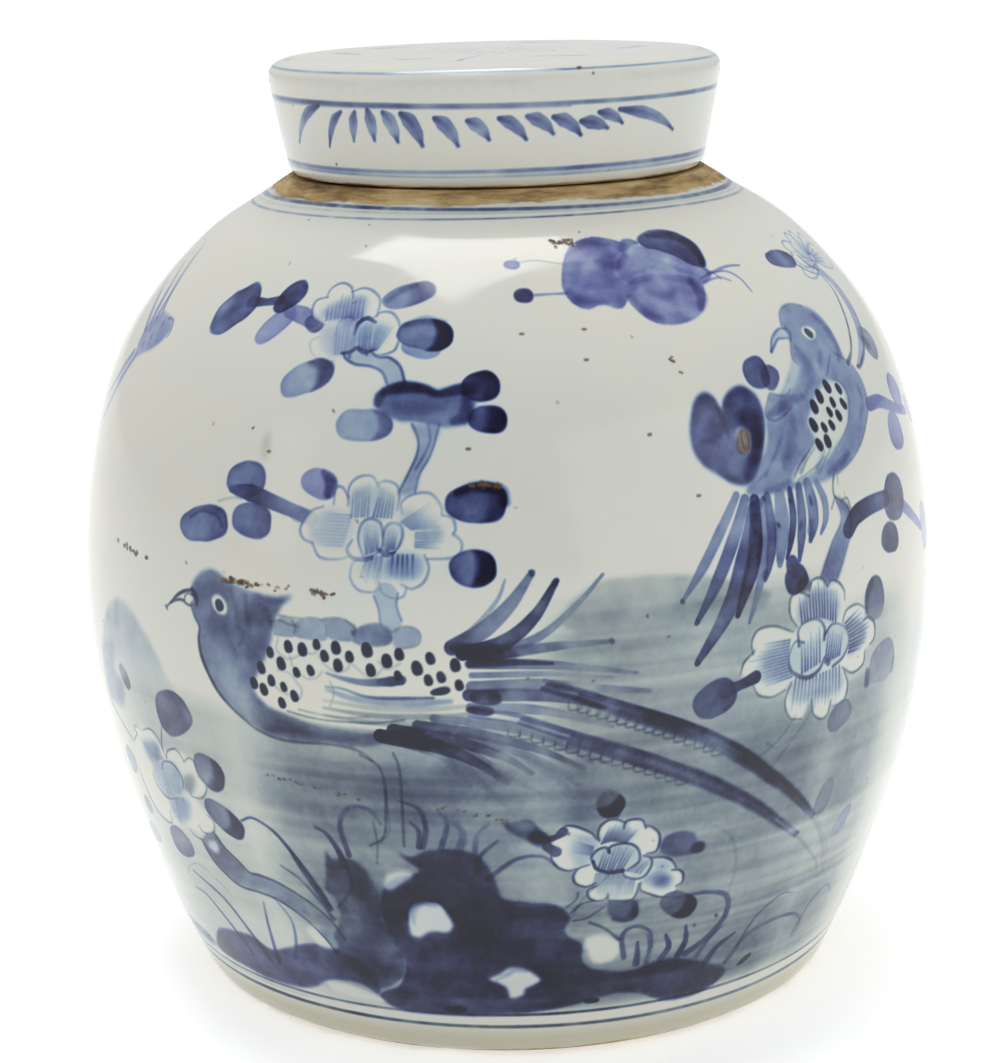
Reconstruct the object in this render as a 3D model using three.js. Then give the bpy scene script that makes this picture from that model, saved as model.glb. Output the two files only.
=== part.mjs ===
// Ginger jar: a wide-bellied porcelain jar with a short bare neck, closed by a flat-topped cap lid.
// Millimetres, +Z up, origin at the middle of the ring that the jar stands on.
import * as THREE from 'three';

// Driving dimensions
const TOTAL_HEIGHT = 252.5;
const BELLY_RADIUS = 118.4;
const BELLY_HEIGHT = 112;
const FOOT_RADIUS = 86.9;
const FOOT_RING_WIDTH = 6.5;
const FOOT_BEVEL = 2.4;
const FOOT_RECESS = 5.5;
const BASE_THICKNESS = 7.5;
const WALL_THICKNESS = 5.6;

const SEAT_HEIGHT = 220.6;
const SEAT_RADIUS = 56.6;
const NECK_RADIUS = 47;
const NECK_WALL = 4.8;
const NECK_TOP = 239.5;

const SEAT_GAP = 0.3;
const LID_RIM_RADIUS = 55.4;
const LID_RIM_WIDTH = 5.2;
const LID_TOP_RADIUS = 61.2;
const LID_TOP_THICKNESS = 6;
const LID_WIDEST_HEIGHT = 247.2;
const LID_FLAT_RADIUS = 48;

// Fineness of the turned surfaces
const SIDES = 60;
const WALL_STEPS = 18;
const ROUND_STEPS = 4;

const PORCELAIN = { roughness: 0.15, metalness: 0 };

function at(radius, height) {
  return new THREE.Vector2(radius, height);
}

// Points of a quarter-turn from one end to the other, rounding the corner between them.
function rounded(start, corner, end) {
  return new THREE.QuadraticBezierCurve(start, corner, end).getPoints(ROUND_STEPS);
}

// Smooth line through the given outline points.
function smoothLine(outline, steps) {
  const knots = outline.map((p) => new THREE.Vector3(p.x, p.y, 0));
  const curve = new THREE.CatmullRomCurve3(knots, false, 'centripetal');
  return curve.getSpacedPoints(steps).map((p) => at(p.x, p.y));
}

// The same line moved inwards, square to itself, by a thickness.
function movedInwards(line, thickness) {
  return line.map((point, i) => {
    const before = line[Math.max(i - 1, 0)];
    const after = line[Math.min(i + 1, line.length - 1)];
    const along = after.clone().sub(before).normalize();
    return at(point.x - along.y * thickness, point.y + along.x * thickness);
  });
}

// A solid turned about +Z from an outline that starts and ends on the axis.
function turned(name, outline, colour) {
  const geometry = new THREE.LatheGeometry(outline, SIDES);
  geometry.rotateX(Math.PI / 2);
  const mesh = new THREE.Mesh(geometry, new THREE.MeshStandardMaterial({ color: colour, ...PORCELAIN }));
  mesh.name = name;
  return mesh;
}

// Outer wall of the jar from just above the foot bevel to the edge of the lid's seat.
function outerWall() {
  return smoothLine([
    at(FOOT_RADIUS + 3.4, FOOT_BEVEL),
    at(BELLY_RADIUS * 0.86, SEAT_HEIGHT * 0.136),
    at(BELLY_RADIUS * 0.952, SEAT_HEIGHT * 0.295),
    at(BELLY_RADIUS, BELLY_HEIGHT),
    at(BELLY_RADIUS * 0.961, SEAT_HEIGHT * 0.68),
    at(BELLY_RADIUS * 0.865, SEAT_HEIGHT * 0.816),
    at(BELLY_RADIUS * 0.684, SEAT_HEIGHT * 0.929),
    at(BELLY_RADIUS * 0.538, SEAT_HEIGHT * 0.98),
    at(SEAT_RADIUS, SEAT_HEIGHT),
  ], WALL_STEPS);
}

function jarBody() {
  const wall = outerWall();
  const boreRadius = NECK_RADIUS - NECK_WALL;
  const floorHeight = FOOT_RECESS + BASE_THICKNESS;
  const ringInside = FOOT_RADIUS - FOOT_RING_WIDTH;

  const inside = movedInwards(wall, WALL_THICKNESS)
    .filter((p) => p.y > floorHeight + 8 && p.x > boreRadius + 4)
    .reverse();
  const shoulderUnder = inside[0];
  const wallFoot = inside[inside.length - 1];
  const floorCorner = at(wallFoot.x - 3, floorHeight);
  const lip = NECK_WALL / 2;

  const outline = [
    at(0, FOOT_RECESS),
    ...rounded(at(ringInside - 5, FOOT_RECESS), at(ringInside - 1, FOOT_RECESS), at(ringInside, 0)),
    at(FOOT_RADIUS, 0),
    ...wall,
    ...rounded(at(NECK_RADIUS + 1.5, SEAT_HEIGHT), at(NECK_RADIUS, SEAT_HEIGHT), at(NECK_RADIUS, SEAT_HEIGHT + 1.5)),
    ...rounded(at(NECK_RADIUS, NECK_TOP - lip), at(NECK_RADIUS, NECK_TOP), at(NECK_RADIUS - lip, NECK_TOP)),
    ...rounded(at(NECK_RADIUS - lip, NECK_TOP), at(boreRadius, NECK_TOP), at(boreRadius, NECK_TOP - lip)).slice(1),
    ...rounded(at(boreRadius, SEAT_HEIGHT - 2), at(boreRadius, shoulderUnder.y + 2), shoulderUnder),
    ...inside.slice(1),
    ...rounded(wallFoot, floorCorner, at(floorCorner.x - 12, floorHeight)).slice(1),
    at(0, floorHeight),
  ];
  return turned('jar_body', outline, 0xd0d6cd);
}

function lid() {
  const rim = SEAT_HEIGHT + SEAT_GAP;
  const innerRim = LID_RIM_RADIUS - LID_RIM_WIDTH;
  const ceiling = TOTAL_HEIGHT - LID_TOP_THICKNESS;
  const widest = at(LID_TOP_RADIUS, LID_WIDEST_HEIGHT);

  const outline = [
    at(0, ceiling),
    ...rounded(at(innerRim - 3, ceiling), at(innerRim + 2.5, ceiling), at(innerRim + 2, ceiling - 5)),
    at(innerRim, rim + 1),
    at(innerRim + 0.8, rim),
    at(LID_RIM_RADIUS - 1.4, rim),
    ...rounded(at(LID_RIM_RADIUS - 0.4, rim + 0.3), at(LID_RIM_RADIUS + 0.9, rim + 1), at(LID_RIM_RADIUS + 1.3, rim + 2.6)),
    ...rounded(widest, at(LID_TOP_RADIUS + 0.3, TOTAL_HEIGHT), at(LID_FLAT_RADIUS, TOTAL_HEIGHT - 0.1)),
    at(0, TOTAL_HEIGHT),
  ];
  return turned('lid', outline, 0xc9cfc8);
}

const jar = new THREE.Group();
jar.add(jarBody(), lid());

export default jar;
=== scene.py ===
"""Ginger jar: a wide-bellied porcelain jar with a cap lid, painted by hand in blue under a glossy glaze.

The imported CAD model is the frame. Each glazed or bare surface here is a finer turned skin of the same jar
or lid: a grid of rows along the outline and columns round the axis, on which brushstrokes are laid one by
one. The mesh is fine where there is paint and coarse where there is none. The painting's places are angles
and heights on the jar, and the materials turn the laid pigment into colour.
"""
import math

import bpy
import numpy as np
from mathutils import Matrix, Vector


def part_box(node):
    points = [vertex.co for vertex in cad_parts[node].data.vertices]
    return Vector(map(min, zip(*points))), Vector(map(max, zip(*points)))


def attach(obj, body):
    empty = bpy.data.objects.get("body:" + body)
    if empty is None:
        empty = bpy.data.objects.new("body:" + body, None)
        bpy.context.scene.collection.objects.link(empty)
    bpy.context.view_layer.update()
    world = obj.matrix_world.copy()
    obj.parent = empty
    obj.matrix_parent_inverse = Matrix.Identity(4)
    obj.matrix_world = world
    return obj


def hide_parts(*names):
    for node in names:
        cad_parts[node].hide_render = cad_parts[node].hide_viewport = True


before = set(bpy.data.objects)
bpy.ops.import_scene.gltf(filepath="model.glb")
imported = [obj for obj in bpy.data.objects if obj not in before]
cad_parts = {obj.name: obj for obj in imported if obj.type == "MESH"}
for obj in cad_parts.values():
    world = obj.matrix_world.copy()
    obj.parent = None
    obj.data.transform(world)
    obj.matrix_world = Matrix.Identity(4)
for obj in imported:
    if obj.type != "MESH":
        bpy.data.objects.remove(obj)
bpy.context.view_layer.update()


# ---------------------------------------------------------------------------
# Sizes in mm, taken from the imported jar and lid
# ---------------------------------------------------------------------------
MM = 0.001
jar_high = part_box("jar_body")[1]
lid_low, lid_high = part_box("lid")
TOTAL_HEIGHT = lid_high[2] / MM
BELLY_RADIUS = jar_high[0] / MM
NECK_TOP = jar_high[2] / MM
LID_TOP_RADIUS = lid_high[0] / MM
LID_RIM_HEIGHT = lid_low[2] / MM
SEAT_GAP = 0.3
SEAT_HEIGHT = LID_RIM_HEIGHT - SEAT_GAP

FOOT_RADIUS = 86.9
FOOT_RING_WIDTH = 6.5
FOOT_BEVEL = 2.4
FOOT_RECESS = 5.5
BASE_THICKNESS = 7.5
WALL_THICKNESS = 5.6
BELLY_HEIGHT = 112.0
SEAT_RADIUS = 56.6
NECK_RADIUS = 47.0
NECK_WALL = 4.8
LID_RIM_RADIUS = 55.4
LID_RIM_WIDTH = 5.2
LID_WIDEST_HEIGHT = 247.2
LID_FLAT_RADIUS = 48.0
LID_TOP_THICKNESS = 6.0

# Spacing of the painted grid, rows and columns in its largest mesh block, and about how far one degree
# reaches on the belly
GRID = 0.262
BLOCK = 16
MM_PER_DEGREE = 1.8
# A surface that reaches the axis stops at this radius, where a small face closes it
AXIS_RADIUS = 0.2


# ---------------------------------------------------------------------------
# Outlines, as rows of (radius, height) in mm
# ---------------------------------------------------------------------------

def smooth_line(points):
    """Centripetal Catmull-Rom line through points."""
    steps = 24
    p = np.array(points, float)
    p = np.vstack([2 * p[0] - p[1], p, 2 * p[-1] - p[-2]])
    knots = np.concatenate([[0], np.cumsum(np.sqrt(np.hypot(*np.diff(p, axis=0).T)))])
    pieces = []
    for i in range(1, len(p) - 2):
        t0, t1, t2, t3 = knots[i - 1:i + 3]
        t = np.linspace(t1, t2, steps, endpoint=False)[:, None]
        a1 = (t1 - t) / (t1 - t0) * p[i - 1] + (t - t0) / (t1 - t0) * p[i]
        a2 = (t2 - t) / (t2 - t1) * p[i] + (t - t1) / (t2 - t1) * p[i + 1]
        a3 = (t3 - t) / (t3 - t2) * p[i + 1] + (t - t2) / (t3 - t2) * p[i + 2]
        b1 = (t2 - t) / (t2 - t0) * a1 + (t - t0) / (t2 - t0) * a2
        b2 = (t3 - t) / (t3 - t1) * a2 + (t - t1) / (t3 - t1) * a3
        pieces.append((t2 - t) / (t2 - t1) * b1 + (t - t1) / (t2 - t1) * b2)
    pieces.append(p[-2:-1])
    return np.vstack(pieces)


def rounded(start, corner, end, steps=8):
    """A rounded corner between two points."""
    t = np.linspace(0, 1, steps + 1)[:, None]
    start, corner, end = np.array(start, float), np.array(corner, float), np.array(end, float)
    return (1 - t) ** 2 * start + 2 * t * (1 - t) * corner + t ** 2 * end


def even_rows(parts, spacing):
    """The joined line with a whole number of blocks of evenly spaced rows."""
    line_points = np.vstack(parts)
    keep = np.concatenate([[True], np.hypot(*np.diff(line_points, axis=0).T) > 1e-6])
    line_points = line_points[keep]
    along = np.concatenate([[0], np.cumsum(np.hypot(*np.diff(line_points, axis=0).T))])
    blocks = max(int(round(along[-1] / spacing / BLOCK)), 1)
    at = np.linspace(0, along[-1], blocks * BLOCK + 1)
    return np.stack([np.interp(at, along, line_points[:, 0]), np.interp(at, along, line_points[:, 1])],
                    axis=1)


def moved_inwards(line_points, thickness):
    """The same line moved square to itself, towards the inside."""
    along = np.gradient(line_points, axis=0)
    along /= np.hypot(*along.T)[:, None]
    return line_points + thickness * np.stack([-along[:, 1], along[:, 0]], axis=1)


outer_wall = smooth_line([
    (FOOT_RADIUS + 3.4, FOOT_BEVEL),
    (BELLY_RADIUS * 0.86, SEAT_HEIGHT * 0.136),
    (BELLY_RADIUS * 0.952, SEAT_HEIGHT * 0.295),
    (BELLY_RADIUS, BELLY_HEIGHT),
    (BELLY_RADIUS * 0.961, SEAT_HEIGHT * 0.68),
    (BELLY_RADIUS * 0.865, SEAT_HEIGHT * 0.816),
    (BELLY_RADIUS * 0.684, SEAT_HEIGHT * 0.929),
    (BELLY_RADIUS * 0.538, SEAT_HEIGHT * 0.98),
    (SEAT_RADIUS, SEAT_HEIGHT)])

ring_inside = FOOT_RADIUS - FOOT_RING_WIDTH
foot_edge = (FOOT_RADIUS + 0.4, 0.35)
underside_outline = even_rows([
    [(AXIS_RADIUS, FOOT_RECESS)],
    rounded((ring_inside - 7, FOOT_RECESS), (ring_inside - 1, FOOT_RECESS), (ring_inside - 0.4, 1.6)),
    rounded((ring_inside - 0.4, 1.6), (ring_inside, 0), (ring_inside + 1.6, 0)),
    rounded((FOOT_RADIUS - 1.2, 0), (FOOT_RADIUS, 0), foot_edge)], 1.0)
wall_outline = even_rows([
    [foot_edge],
    rounded((FOOT_RADIUS + 2.2, 1.5), (FOOT_RADIUS + 3.2, 2.1), outer_wall[3]),
    outer_wall[4:]], GRID)

bore = NECK_RADIUS - NECK_WALL
lip = NECK_WALL / 2
inner_wall = moved_inwards(outer_wall, WALL_THICKNESS)
floor_height = FOOT_RECESS + BASE_THICKNESS
inner_wall = inner_wall[(inner_wall[:, 1] > floor_height + 8) & (inner_wall[:, 0] > bore + 4)][::-1]
neck_outline = even_rows([
    [(SEAT_RADIUS, SEAT_HEIGHT)],
    rounded((NECK_RADIUS + 1.5, SEAT_HEIGHT), (NECK_RADIUS, SEAT_HEIGHT), (NECK_RADIUS, SEAT_HEIGHT + 1.5)),
    rounded((NECK_RADIUS, NECK_TOP - lip), (NECK_RADIUS, NECK_TOP), (NECK_RADIUS - lip, NECK_TOP)),
    rounded((NECK_RADIUS - lip, NECK_TOP), (bore, NECK_TOP), (bore, NECK_TOP - lip))], 0.5)
inside_outline = even_rows([
    [(bore, NECK_TOP - lip)],
    rounded((bore, SEAT_HEIGHT - 2), (bore, inner_wall[0][1] + 2), inner_wall[0]),
    inner_wall[1:],
    rounded(inner_wall[-1], (inner_wall[-1][0] - 3, floor_height), (inner_wall[-1][0] - 15, floor_height)),
    [(AXIS_RADIUS, floor_height)]], 1.0)

inner_rim = LID_RIM_RADIUS - LID_RIM_WIDTH
ceiling = TOTAL_HEIGHT - LID_TOP_THICKNESS
lid_outline = even_rows([
    rounded((LID_RIM_RADIUS - 1.4, LID_RIM_HEIGHT), (LID_RIM_RADIUS - 0.6, LID_RIM_HEIGHT),
            (LID_RIM_RADIUS, LID_RIM_HEIGHT + 0.6)),
    rounded((LID_RIM_RADIUS, LID_RIM_HEIGHT + 0.6), (LID_RIM_RADIUS + 0.9, LID_RIM_HEIGHT + 1.3),
            (LID_RIM_RADIUS + 1.3, LID_RIM_HEIGHT + 2.6)),
    rounded((LID_RIM_RADIUS + 1.3, LID_RIM_HEIGHT + 2.6), (LID_TOP_RADIUS - 1.2, LID_WIDEST_HEIGHT - 8),
            (LID_TOP_RADIUS, LID_WIDEST_HEIGHT)),
    rounded((LID_TOP_RADIUS, LID_WIDEST_HEIGHT), (LID_TOP_RADIUS + 0.35, TOTAL_HEIGHT + 0.1),
            (LID_FLAT_RADIUS, TOTAL_HEIGHT - 0.1), 24),
    [(AXIS_RADIUS, TOTAL_HEIGHT)]], GRID)
lid_inside_outline = even_rows([
    [(AXIS_RADIUS, ceiling)],
    rounded((inner_rim - 3, ceiling), (inner_rim + 2.5, ceiling), (inner_rim + 2, ceiling - 5)),
    rounded((inner_rim, LID_RIM_HEIGHT + 1.6), (inner_rim + 0.2, LID_RIM_HEIGHT),
            (inner_rim + 1.6, LID_RIM_HEIGHT)),
    [(LID_RIM_RADIUS - 1.4, LID_RIM_HEIGHT)]], 0.6)


# ---------------------------------------------------------------------------
# Brushwork: strokes are laid on a fine grid over a turned surface. The first
# number of a place is the angle round the jar in degrees, 0 at the painted
# front and growing to the viewer's right; the second is the height in mm.
# Widths are in mm, and a tone is how thickly the pigment lies.
# ---------------------------------------------------------------------------

# Each shade of the painter's blue, as its shares of grey and of violet
SHADES = {'blue': (0.15, 0.0), 'grey': (0.95, 0.0), 'dusk': (0.36, 0.1), 'steel': (0.55, 0.03),
          'slate': (0.58, 0.22), 'violet': (0.85, 0.35), 'lilac': (0.4, 0.42), 'plum': (0.35, 0.4),
          'ash': (0.75, 0.12)}

# Half the width of the finest line that the grid can hold
FINEST = 0.31
# A stroke with a softer edge than this is thin colour that darkens all that lies under it. A crisper one
# joins what is there, and darkens it less: a wide stroke the most, a thin line only a little.
SOFT_EDGE = 0.6
THIN_LINE = 0.8
STROKE_JOINS = 0.7
LINE_JOINS = 0.35


class Canvas:
    """Paint layers on a grid of rows (along an outline) and columns (round the axis)."""

    def __init__(self, outline, columns, seed, by_length=False):
        self.outline = np.array(outline)
        self.rows, self.columns = len(self.outline), columns
        self.step = float(np.hypot(*np.diff(self.outline[:2], axis=0)[0]))
        self.ruler = np.arange(self.rows) * self.step if by_length else self.outline[:, 1]
        self.angles = np.radians(np.arange(columns) * 360.0 / columns - 180.0)
        self.turned, self.hand = 0.0, 1
        self.cobalt = np.zeros((self.rows, columns))
        self.grey = np.zeros((self.rows, columns))
        self.violet = np.zeros((self.rows, columns))
        self.iron = np.zeros((self.rows, columns))
        self.bare = np.zeros((self.rows, columns))
        self.random = np.random.default_rng(seed)
        self.mottle = self.noise(2.6, 2.6)
        self.pooling = self.noise(7.0, 6.0)
        self.streak = self.noise(45.0, 1.1)
        self.drift = self.noise(60.0, 14.0)
        self.uneven = 0.2 * self.noise(8.0, 1.0) + 0.6 * self.mottle + 0.7 * self.pooling

    def noise(self, along, across):
        """Smooth noise, about -1 to 1, with the given sizes in mm round the jar and up the wall."""
        white = self.random.standard_normal((self.rows, self.columns))
        widest = self.outline[:, 0].max()
        column_step = widest * 2 * math.pi / self.columns
        up = np.fft.fftfreq(self.rows)[:, None] * across / self.step
        around = np.fft.rfftfreq(self.columns)[None, :] * along / column_step
        smooth = np.fft.irfft2(np.fft.rfft2(white) * np.exp(-6.0 * (up ** 2 + around ** 2)), white.shape)
        return smooth / (2.0 * smooth.std())

    def share(self, part):
        """The part of the cobalt that is of one shade, from 0 to 1."""
        return np.where(self.cobalt > 1e-3, np.clip(part / np.maximum(self.cobalt, 1e-3), 0, 1), 0.5)

    def mm_per_degree(self, height):
        """How far one degree reaches round the surface at this height."""
        return math.radians(np.interp(height, self.ruler, self.outline[:, 0]))

    def on_surface(self, points):
        """Rows, columns and places in mm of points given as (angle, height)."""
        angle = np.radians(self.turned + self.hand * points[:, 0])
        row = np.interp(points[:, 1], self.ruler, np.arange(self.rows))
        return self.places(row, angle)

    def places(self, row, angle):
        """Rows, columns, places in mm and radii of points given by row and angle."""
        radius = np.interp(row, np.arange(self.rows), self.outline[:, 0])
        height = np.interp(row, np.arange(self.rows), self.outline[:, 1])
        place = np.stack([radius * np.sin(angle), -radius * np.cos(angle), height], axis=1)
        column = (angle + math.pi) * self.columns / (2 * math.pi)
        return row, column, place, radius

    def dab(self, samples, halves, tones, soft, rim, drag, kind):
        """Lays one stroke: a chain of round touches, with its own tone at each touch."""
        row, column, place, radius = self.on_surface(samples)
        reach = halves.max() + soft
        tall = int(np.ceil(reach / self.step)) + 1
        wide = int(np.ceil(reach / (radius.min() * 2 * math.pi / self.columns))) + 1
        r = np.rint(row).astype(int)[:, None, None] + np.arange(-tall, tall + 1)[None, :, None]
        c = np.rint(column).astype(int)[:, None, None] + np.arange(-wide, wide + 1)[None, None, :]
        r, c = np.broadcast_arrays(r, c)
        inside = (r >= 0) & (r < self.rows)
        r, c = np.clip(r, 0, self.rows - 1), c % self.columns
        a, ring = self.angles[c], self.outline[r, 0]
        x, y, z = place[:, 0, None, None], place[:, 1, None, None], place[:, 2, None, None]
        aside, ahead, above = ring * np.sin(a) - x, -ring * np.cos(a) - y, self.outline[r, 1] - z
        gap = np.sqrt(aside ** 2 + ahead ** 2 + above ** 2)
        depth = np.where(inside, halves[:, None, None] - gap, -9.0)
        near = depth > -soft
        flat = (r * self.columns + c)[near]
        depth, weight = depth[near], np.maximum(depth[near] + soft, 1e-4) ** 2
        tone = np.broadcast_to(tones[:, None, None], near.shape)[near]
        cells, index = np.unique(flat, return_inverse=True)
        deepest = np.full(len(cells), -9.0)
        np.maximum.at(deepest, index, depth)
        total = np.bincount(index, weight)
        tone = np.bincount(index, weight * tone) / total
        cover = np.clip(0.5 + 0.5 * deepest / soft, 0, 1)
        cover = cover * cover * (3 - 2 * cover)
        edge = np.exp(-np.maximum(deepest, 0) / 0.45)
        tone = tone * (1 + rim * edge) * (1 + drag * self.uneven.flat[cells])
        thin = halves.max() < THIN_LINE
        joins = 0.0 if soft >= SOFT_EDGE else LINE_JOINS if thin else STROKE_JOINS
        self.lay(cells, tone * cover, kind, joins)

    def touch(self, start, end, width, tone, kind, tip, tip_kind, pool, rim, soft, drag, swell):
        """One pressed touch of a full brush: an oval from start to end. With swell it widens to the end."""
        row, column, ends, radius = self.on_surface(np.array([start, end], float))
        axis = ends[1] - ends[0]
        length = np.linalg.norm(axis)
        axis /= length
        middle = int(row.mean())
        slope = self.outline[min(middle + 2, self.rows - 1)] - self.outline[max(middle - 2, 0)]
        turn = math.radians(self.turned + self.hand * 0.5 * (start[0] + end[0]))
        outward = np.array([slope[1] * math.sin(turn), -slope[1] * math.cos(turn), -slope[0]])
        across = np.cross(outward, axis)
        across /= np.linalg.norm(across)
        reach = 0.55 * max(length, width) + soft
        tall = int(np.ceil(reach / self.step)) + 1
        wide = int(np.ceil(reach / (radius.min() * 2 * math.pi / self.columns))) + 1
        r, c = np.mgrid[middle - tall:middle + tall + 1, -wide:wide + 1]
        c = (c + int(column.mean())) % self.columns
        r, c = r[(r >= 0) & (r < self.rows)], c[(r >= 0) & (r < self.rows)]
        ring, high = self.outline[r].T
        place = np.stack([ring * np.sin(self.angles[c]), -ring * np.cos(self.angles[c]), high],
                         axis=1) - ends.mean(axis=0)
        cells = r * self.columns + c
        loose = 1 + 0.05 * self.pooling.flat[cells] + 0.05 * self.mottle.flat[cells]
        u = 2 * (place @ axis) / length * loose
        v = 2 * (place @ across) / width * loose / np.clip(1 + swell * u, 0.4, 1.6)
        q = np.maximum((abs(u) ** 2.3 + abs(v) ** 2.3) ** (1 / 2.3), 1e-4)
        depth = (1 - q) / np.hypot(2 / length * (abs(u) / q) ** 1.3, 2 / width * (abs(v) / q) ** 1.3)
        keep = depth > -soft
        u, v, depth, cells = u[keep], v[keep], depth[keep], cells[keep]
        cover = np.clip(0.5 + 0.5 * depth / soft, 0, 1)
        cover = cover * cover * (3 - 2 * cover)
        steps = spread(tone, np.linspace(0, 1, 9))
        body = np.interp(0.5 + 0.5 * u, np.linspace(0, 1, 9), steps)
        loose = np.maximum(1 + drag * self.uneven.flat[cells], 0)
        amount = body * (1 + rim * np.exp(-np.maximum(depth, 0) / 0.55)) * loose * cover
        self.lay(cells, amount, kind, STROKE_JOINS if soft < SOFT_EDGE else 0.0)
        if tip is not None:
            deep = np.clip((u + 0.3 * v ** 2 + 0.12 * self.pooling.flat[cells] - pool[0])
                           / (pool[1] - pool[0]), 0, 1)
            deep = deep * deep * (3 - 2 * deep) * np.clip(0.5 + depth / 0.8, 0, 1)
            self.lay(cells, tip * deep * loose, tip_kind or kind)

    def lay(self, cells, amount, kind, joins=0.0):
        """Adds colour to cells. The more a stroke joins, the less it darkens what is already there."""
        if kind == 'iron':
            self.iron.flat[cells] = np.maximum(self.iron.flat[cells], amount)
            return
        shade = SHADES[kind]
        if joins:
            amount = np.maximum(amount - joins * self.cobalt.flat[cells], (1 - joins) * amount)
        amount = np.maximum(amount, -0.9 * self.cobalt.flat[cells])
        self.cobalt.flat[cells] += amount
        self.grey.flat[cells] += amount * shade[0]
        self.violet.flat[cells] += amount * shade[1]

    def fill(self, outline, tone, kind='grey', soft=0.5, drag=0.3, rim=0.0, erase=False, fade=None,
             combed=0.0):
        """Fills a closed outline. fade=(angle, height) points towards where the wash thins out."""
        points = curve(outline, closed=True)
        row, column, _, _ = self.on_surface(points)
        r0, r1 = int(max(row.min() - 6, 0)), int(min(row.max() + 6, self.rows - 1))
        c0, c1 = int(column.min() - 8), int(column.max() + 8)
        rr, cc = np.mgrid[r0:r1 + 1, c0:c1 + 1]
        within = np.zeros(rr.shape, bool)
        for (ra, ca, rb, cb) in zip(row, column, np.roll(row, -1), np.roll(column, -1)):
            if abs(ra - rb) < 1e-9:
                continue
            crosses = (ra > rr[:, 0]) != (rb > rr[:, 0])
            at = ca + (rr[crosses, 0] - ra) * (cb - ca) / (rb - ra)
            within[crosses] ^= cc[crosses] < at[:, None]
        radius = self.outline[(r0 + r1) // 2, 0]
        mask = blurred(within.astype(float), soft / self.step, soft / (radius * 2 * math.pi / self.columns))
        cells = rr * self.columns + cc % self.columns
        keep = mask > 0.004
        cells, mask = cells[keep], mask[keep]
        if erase:
            for layer in (self.cobalt, self.grey, self.violet, self.iron):
                layer.flat[cells] *= 1 - mask * tone
            return
        strength = np.full(len(cells), float(tone))
        if fade is not None:
            along = np.array(fade[1]) - np.array(fade[0])
            angle = self.hand * (np.degrees(self.angles[cells % self.columns]) - self.turned)
            angle = (angle + 180) % 360 - 180
            height = self.ruler[cells // self.columns]
            t = ((angle - fade[0][0]) * along[0] + (height - fade[0][1]) * along[1]) / (along @ along)
            t = np.clip(t, 0, 1)
            strength *= 1 - t * t * (3 - 2 * t)
        strength *= 1 + rim * 4 * mask * (1 - mask)
        strength *= np.maximum(1 + drag * self.uneven.flat[cells] + combed * self.streak.flat[cells], 0)
        self.lay(cells, strength * mask, kind, STROKE_JOINS if soft < SOFT_EDGE and tone > 0 else 0.0)

    def wash(self, low, high, tone, kind, start=-180.0, end=180.0, edge=1.0, fade=10.0):
        """A wash laid in level strokes between two heights, with a firm upper edge and uneven lower parts."""
        height = self.ruler[:, None]
        angle = np.degrees(self.angles)[None, :]
        rise = 0.4 * np.sin(np.radians(angle * 5)) + 0.3 * np.sin(np.radians(angle * 13 + 40))
        top = np.clip(0.5 + (high + rise - height) / edge, 0, 1)
        bottom = np.clip((height - low) / 5.0, 0, 1)
        middle, half = 0.5 * (start + end), 0.5 * (end - start)
        aside = abs((angle - middle + 180) % 360 - 180)
        sides = 1.0 if half >= 180 else np.clip((half - aside) / fade, 0, 1)
        uneven = np.clip(1 + 0.22 * self.streak + 0.30 * self.drift + 0.12 * self.pooling, 0.1, 2)
        amount = tone * top * bottom * sides * uneven
        cells = np.flatnonzero(amount > 0.003)
        self.lay(cells, amount.flat[cells], kind)


def blurred(mask, rows, columns):
    """The mask softened by a few passes of a box as wide as the given numbers of rows and columns."""
    for axis, width in ((0, rows), (1, columns)):
        half = max(int(round(width)), 1)
        for _ in range(2):
            total = np.cumsum(np.pad(mask, [(half + 1, half) if a == axis else (0, 0) for a in (0, 1)],
                                     mode='edge'), axis=axis)
            upper = np.take(total, np.arange(2 * half + 1, total.shape[axis]), axis=axis)
            lower = np.take(total, np.arange(0, total.shape[axis] - 2 * half - 1), axis=axis)
            mask = (upper - lower) / (2 * half + 1)
    return mask


def curve(points, closed=False, spacing=0.5):
    """Smooth curve through points, as close samples. Columns after the first two are carried along."""
    points = np.array(points, float)
    if closed:
        points = np.vstack([points[-1], points, points[:2]])
    else:
        points = np.vstack([2 * points[0] - points[1], points, 2 * points[-1] - points[-2]])
    pieces = []
    for i in range(1, len(points) - 2):
        before, start, end, after = points[i - 1:i + 3]
        length = math.hypot((end[0] - start[0]) * MM_PER_DEGREE, end[1] - start[1])
        t = np.linspace(0, 1, max(int(length / spacing), 2), endpoint=False)[:, None]
        bend = 2 * before - 5 * start + 4 * end - after
        twist = 3 * start - before - 3 * end + after
        pieces.append(0.5 * (2 * start + (end - before) * t + bend * t ** 2 + twist * t ** 3))
    if not closed:
        pieces.append(points[-2:-1])
    return np.vstack(pieces)


def spread(value, t):
    """A value, or a list of values from one end of a stroke to the other, at the fractions t."""
    value = np.atleast_1d(np.array(value, float))
    if len(value) == 1:
        return np.full(len(t), value[0])
    return np.interp(t, np.linspace(0, 1, len(value)), value)


def line(canvas, points, width, tone, kind='grey', soft=0.3, rim=0.0, drag=0.25):
    """A drawn line through points, as wide and as dark as stated from end to end."""
    samples = curve(points, spacing=0.25)
    t = np.linspace(0, 1, len(samples))
    halves = 0.5 * spread(width, t)
    strength = spread(tone, t) * np.minimum(halves / FINEST, 1.0)
    canvas.dab(samples, np.maximum(halves, FINEST), strength, soft, rim, drag, kind)


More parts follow.
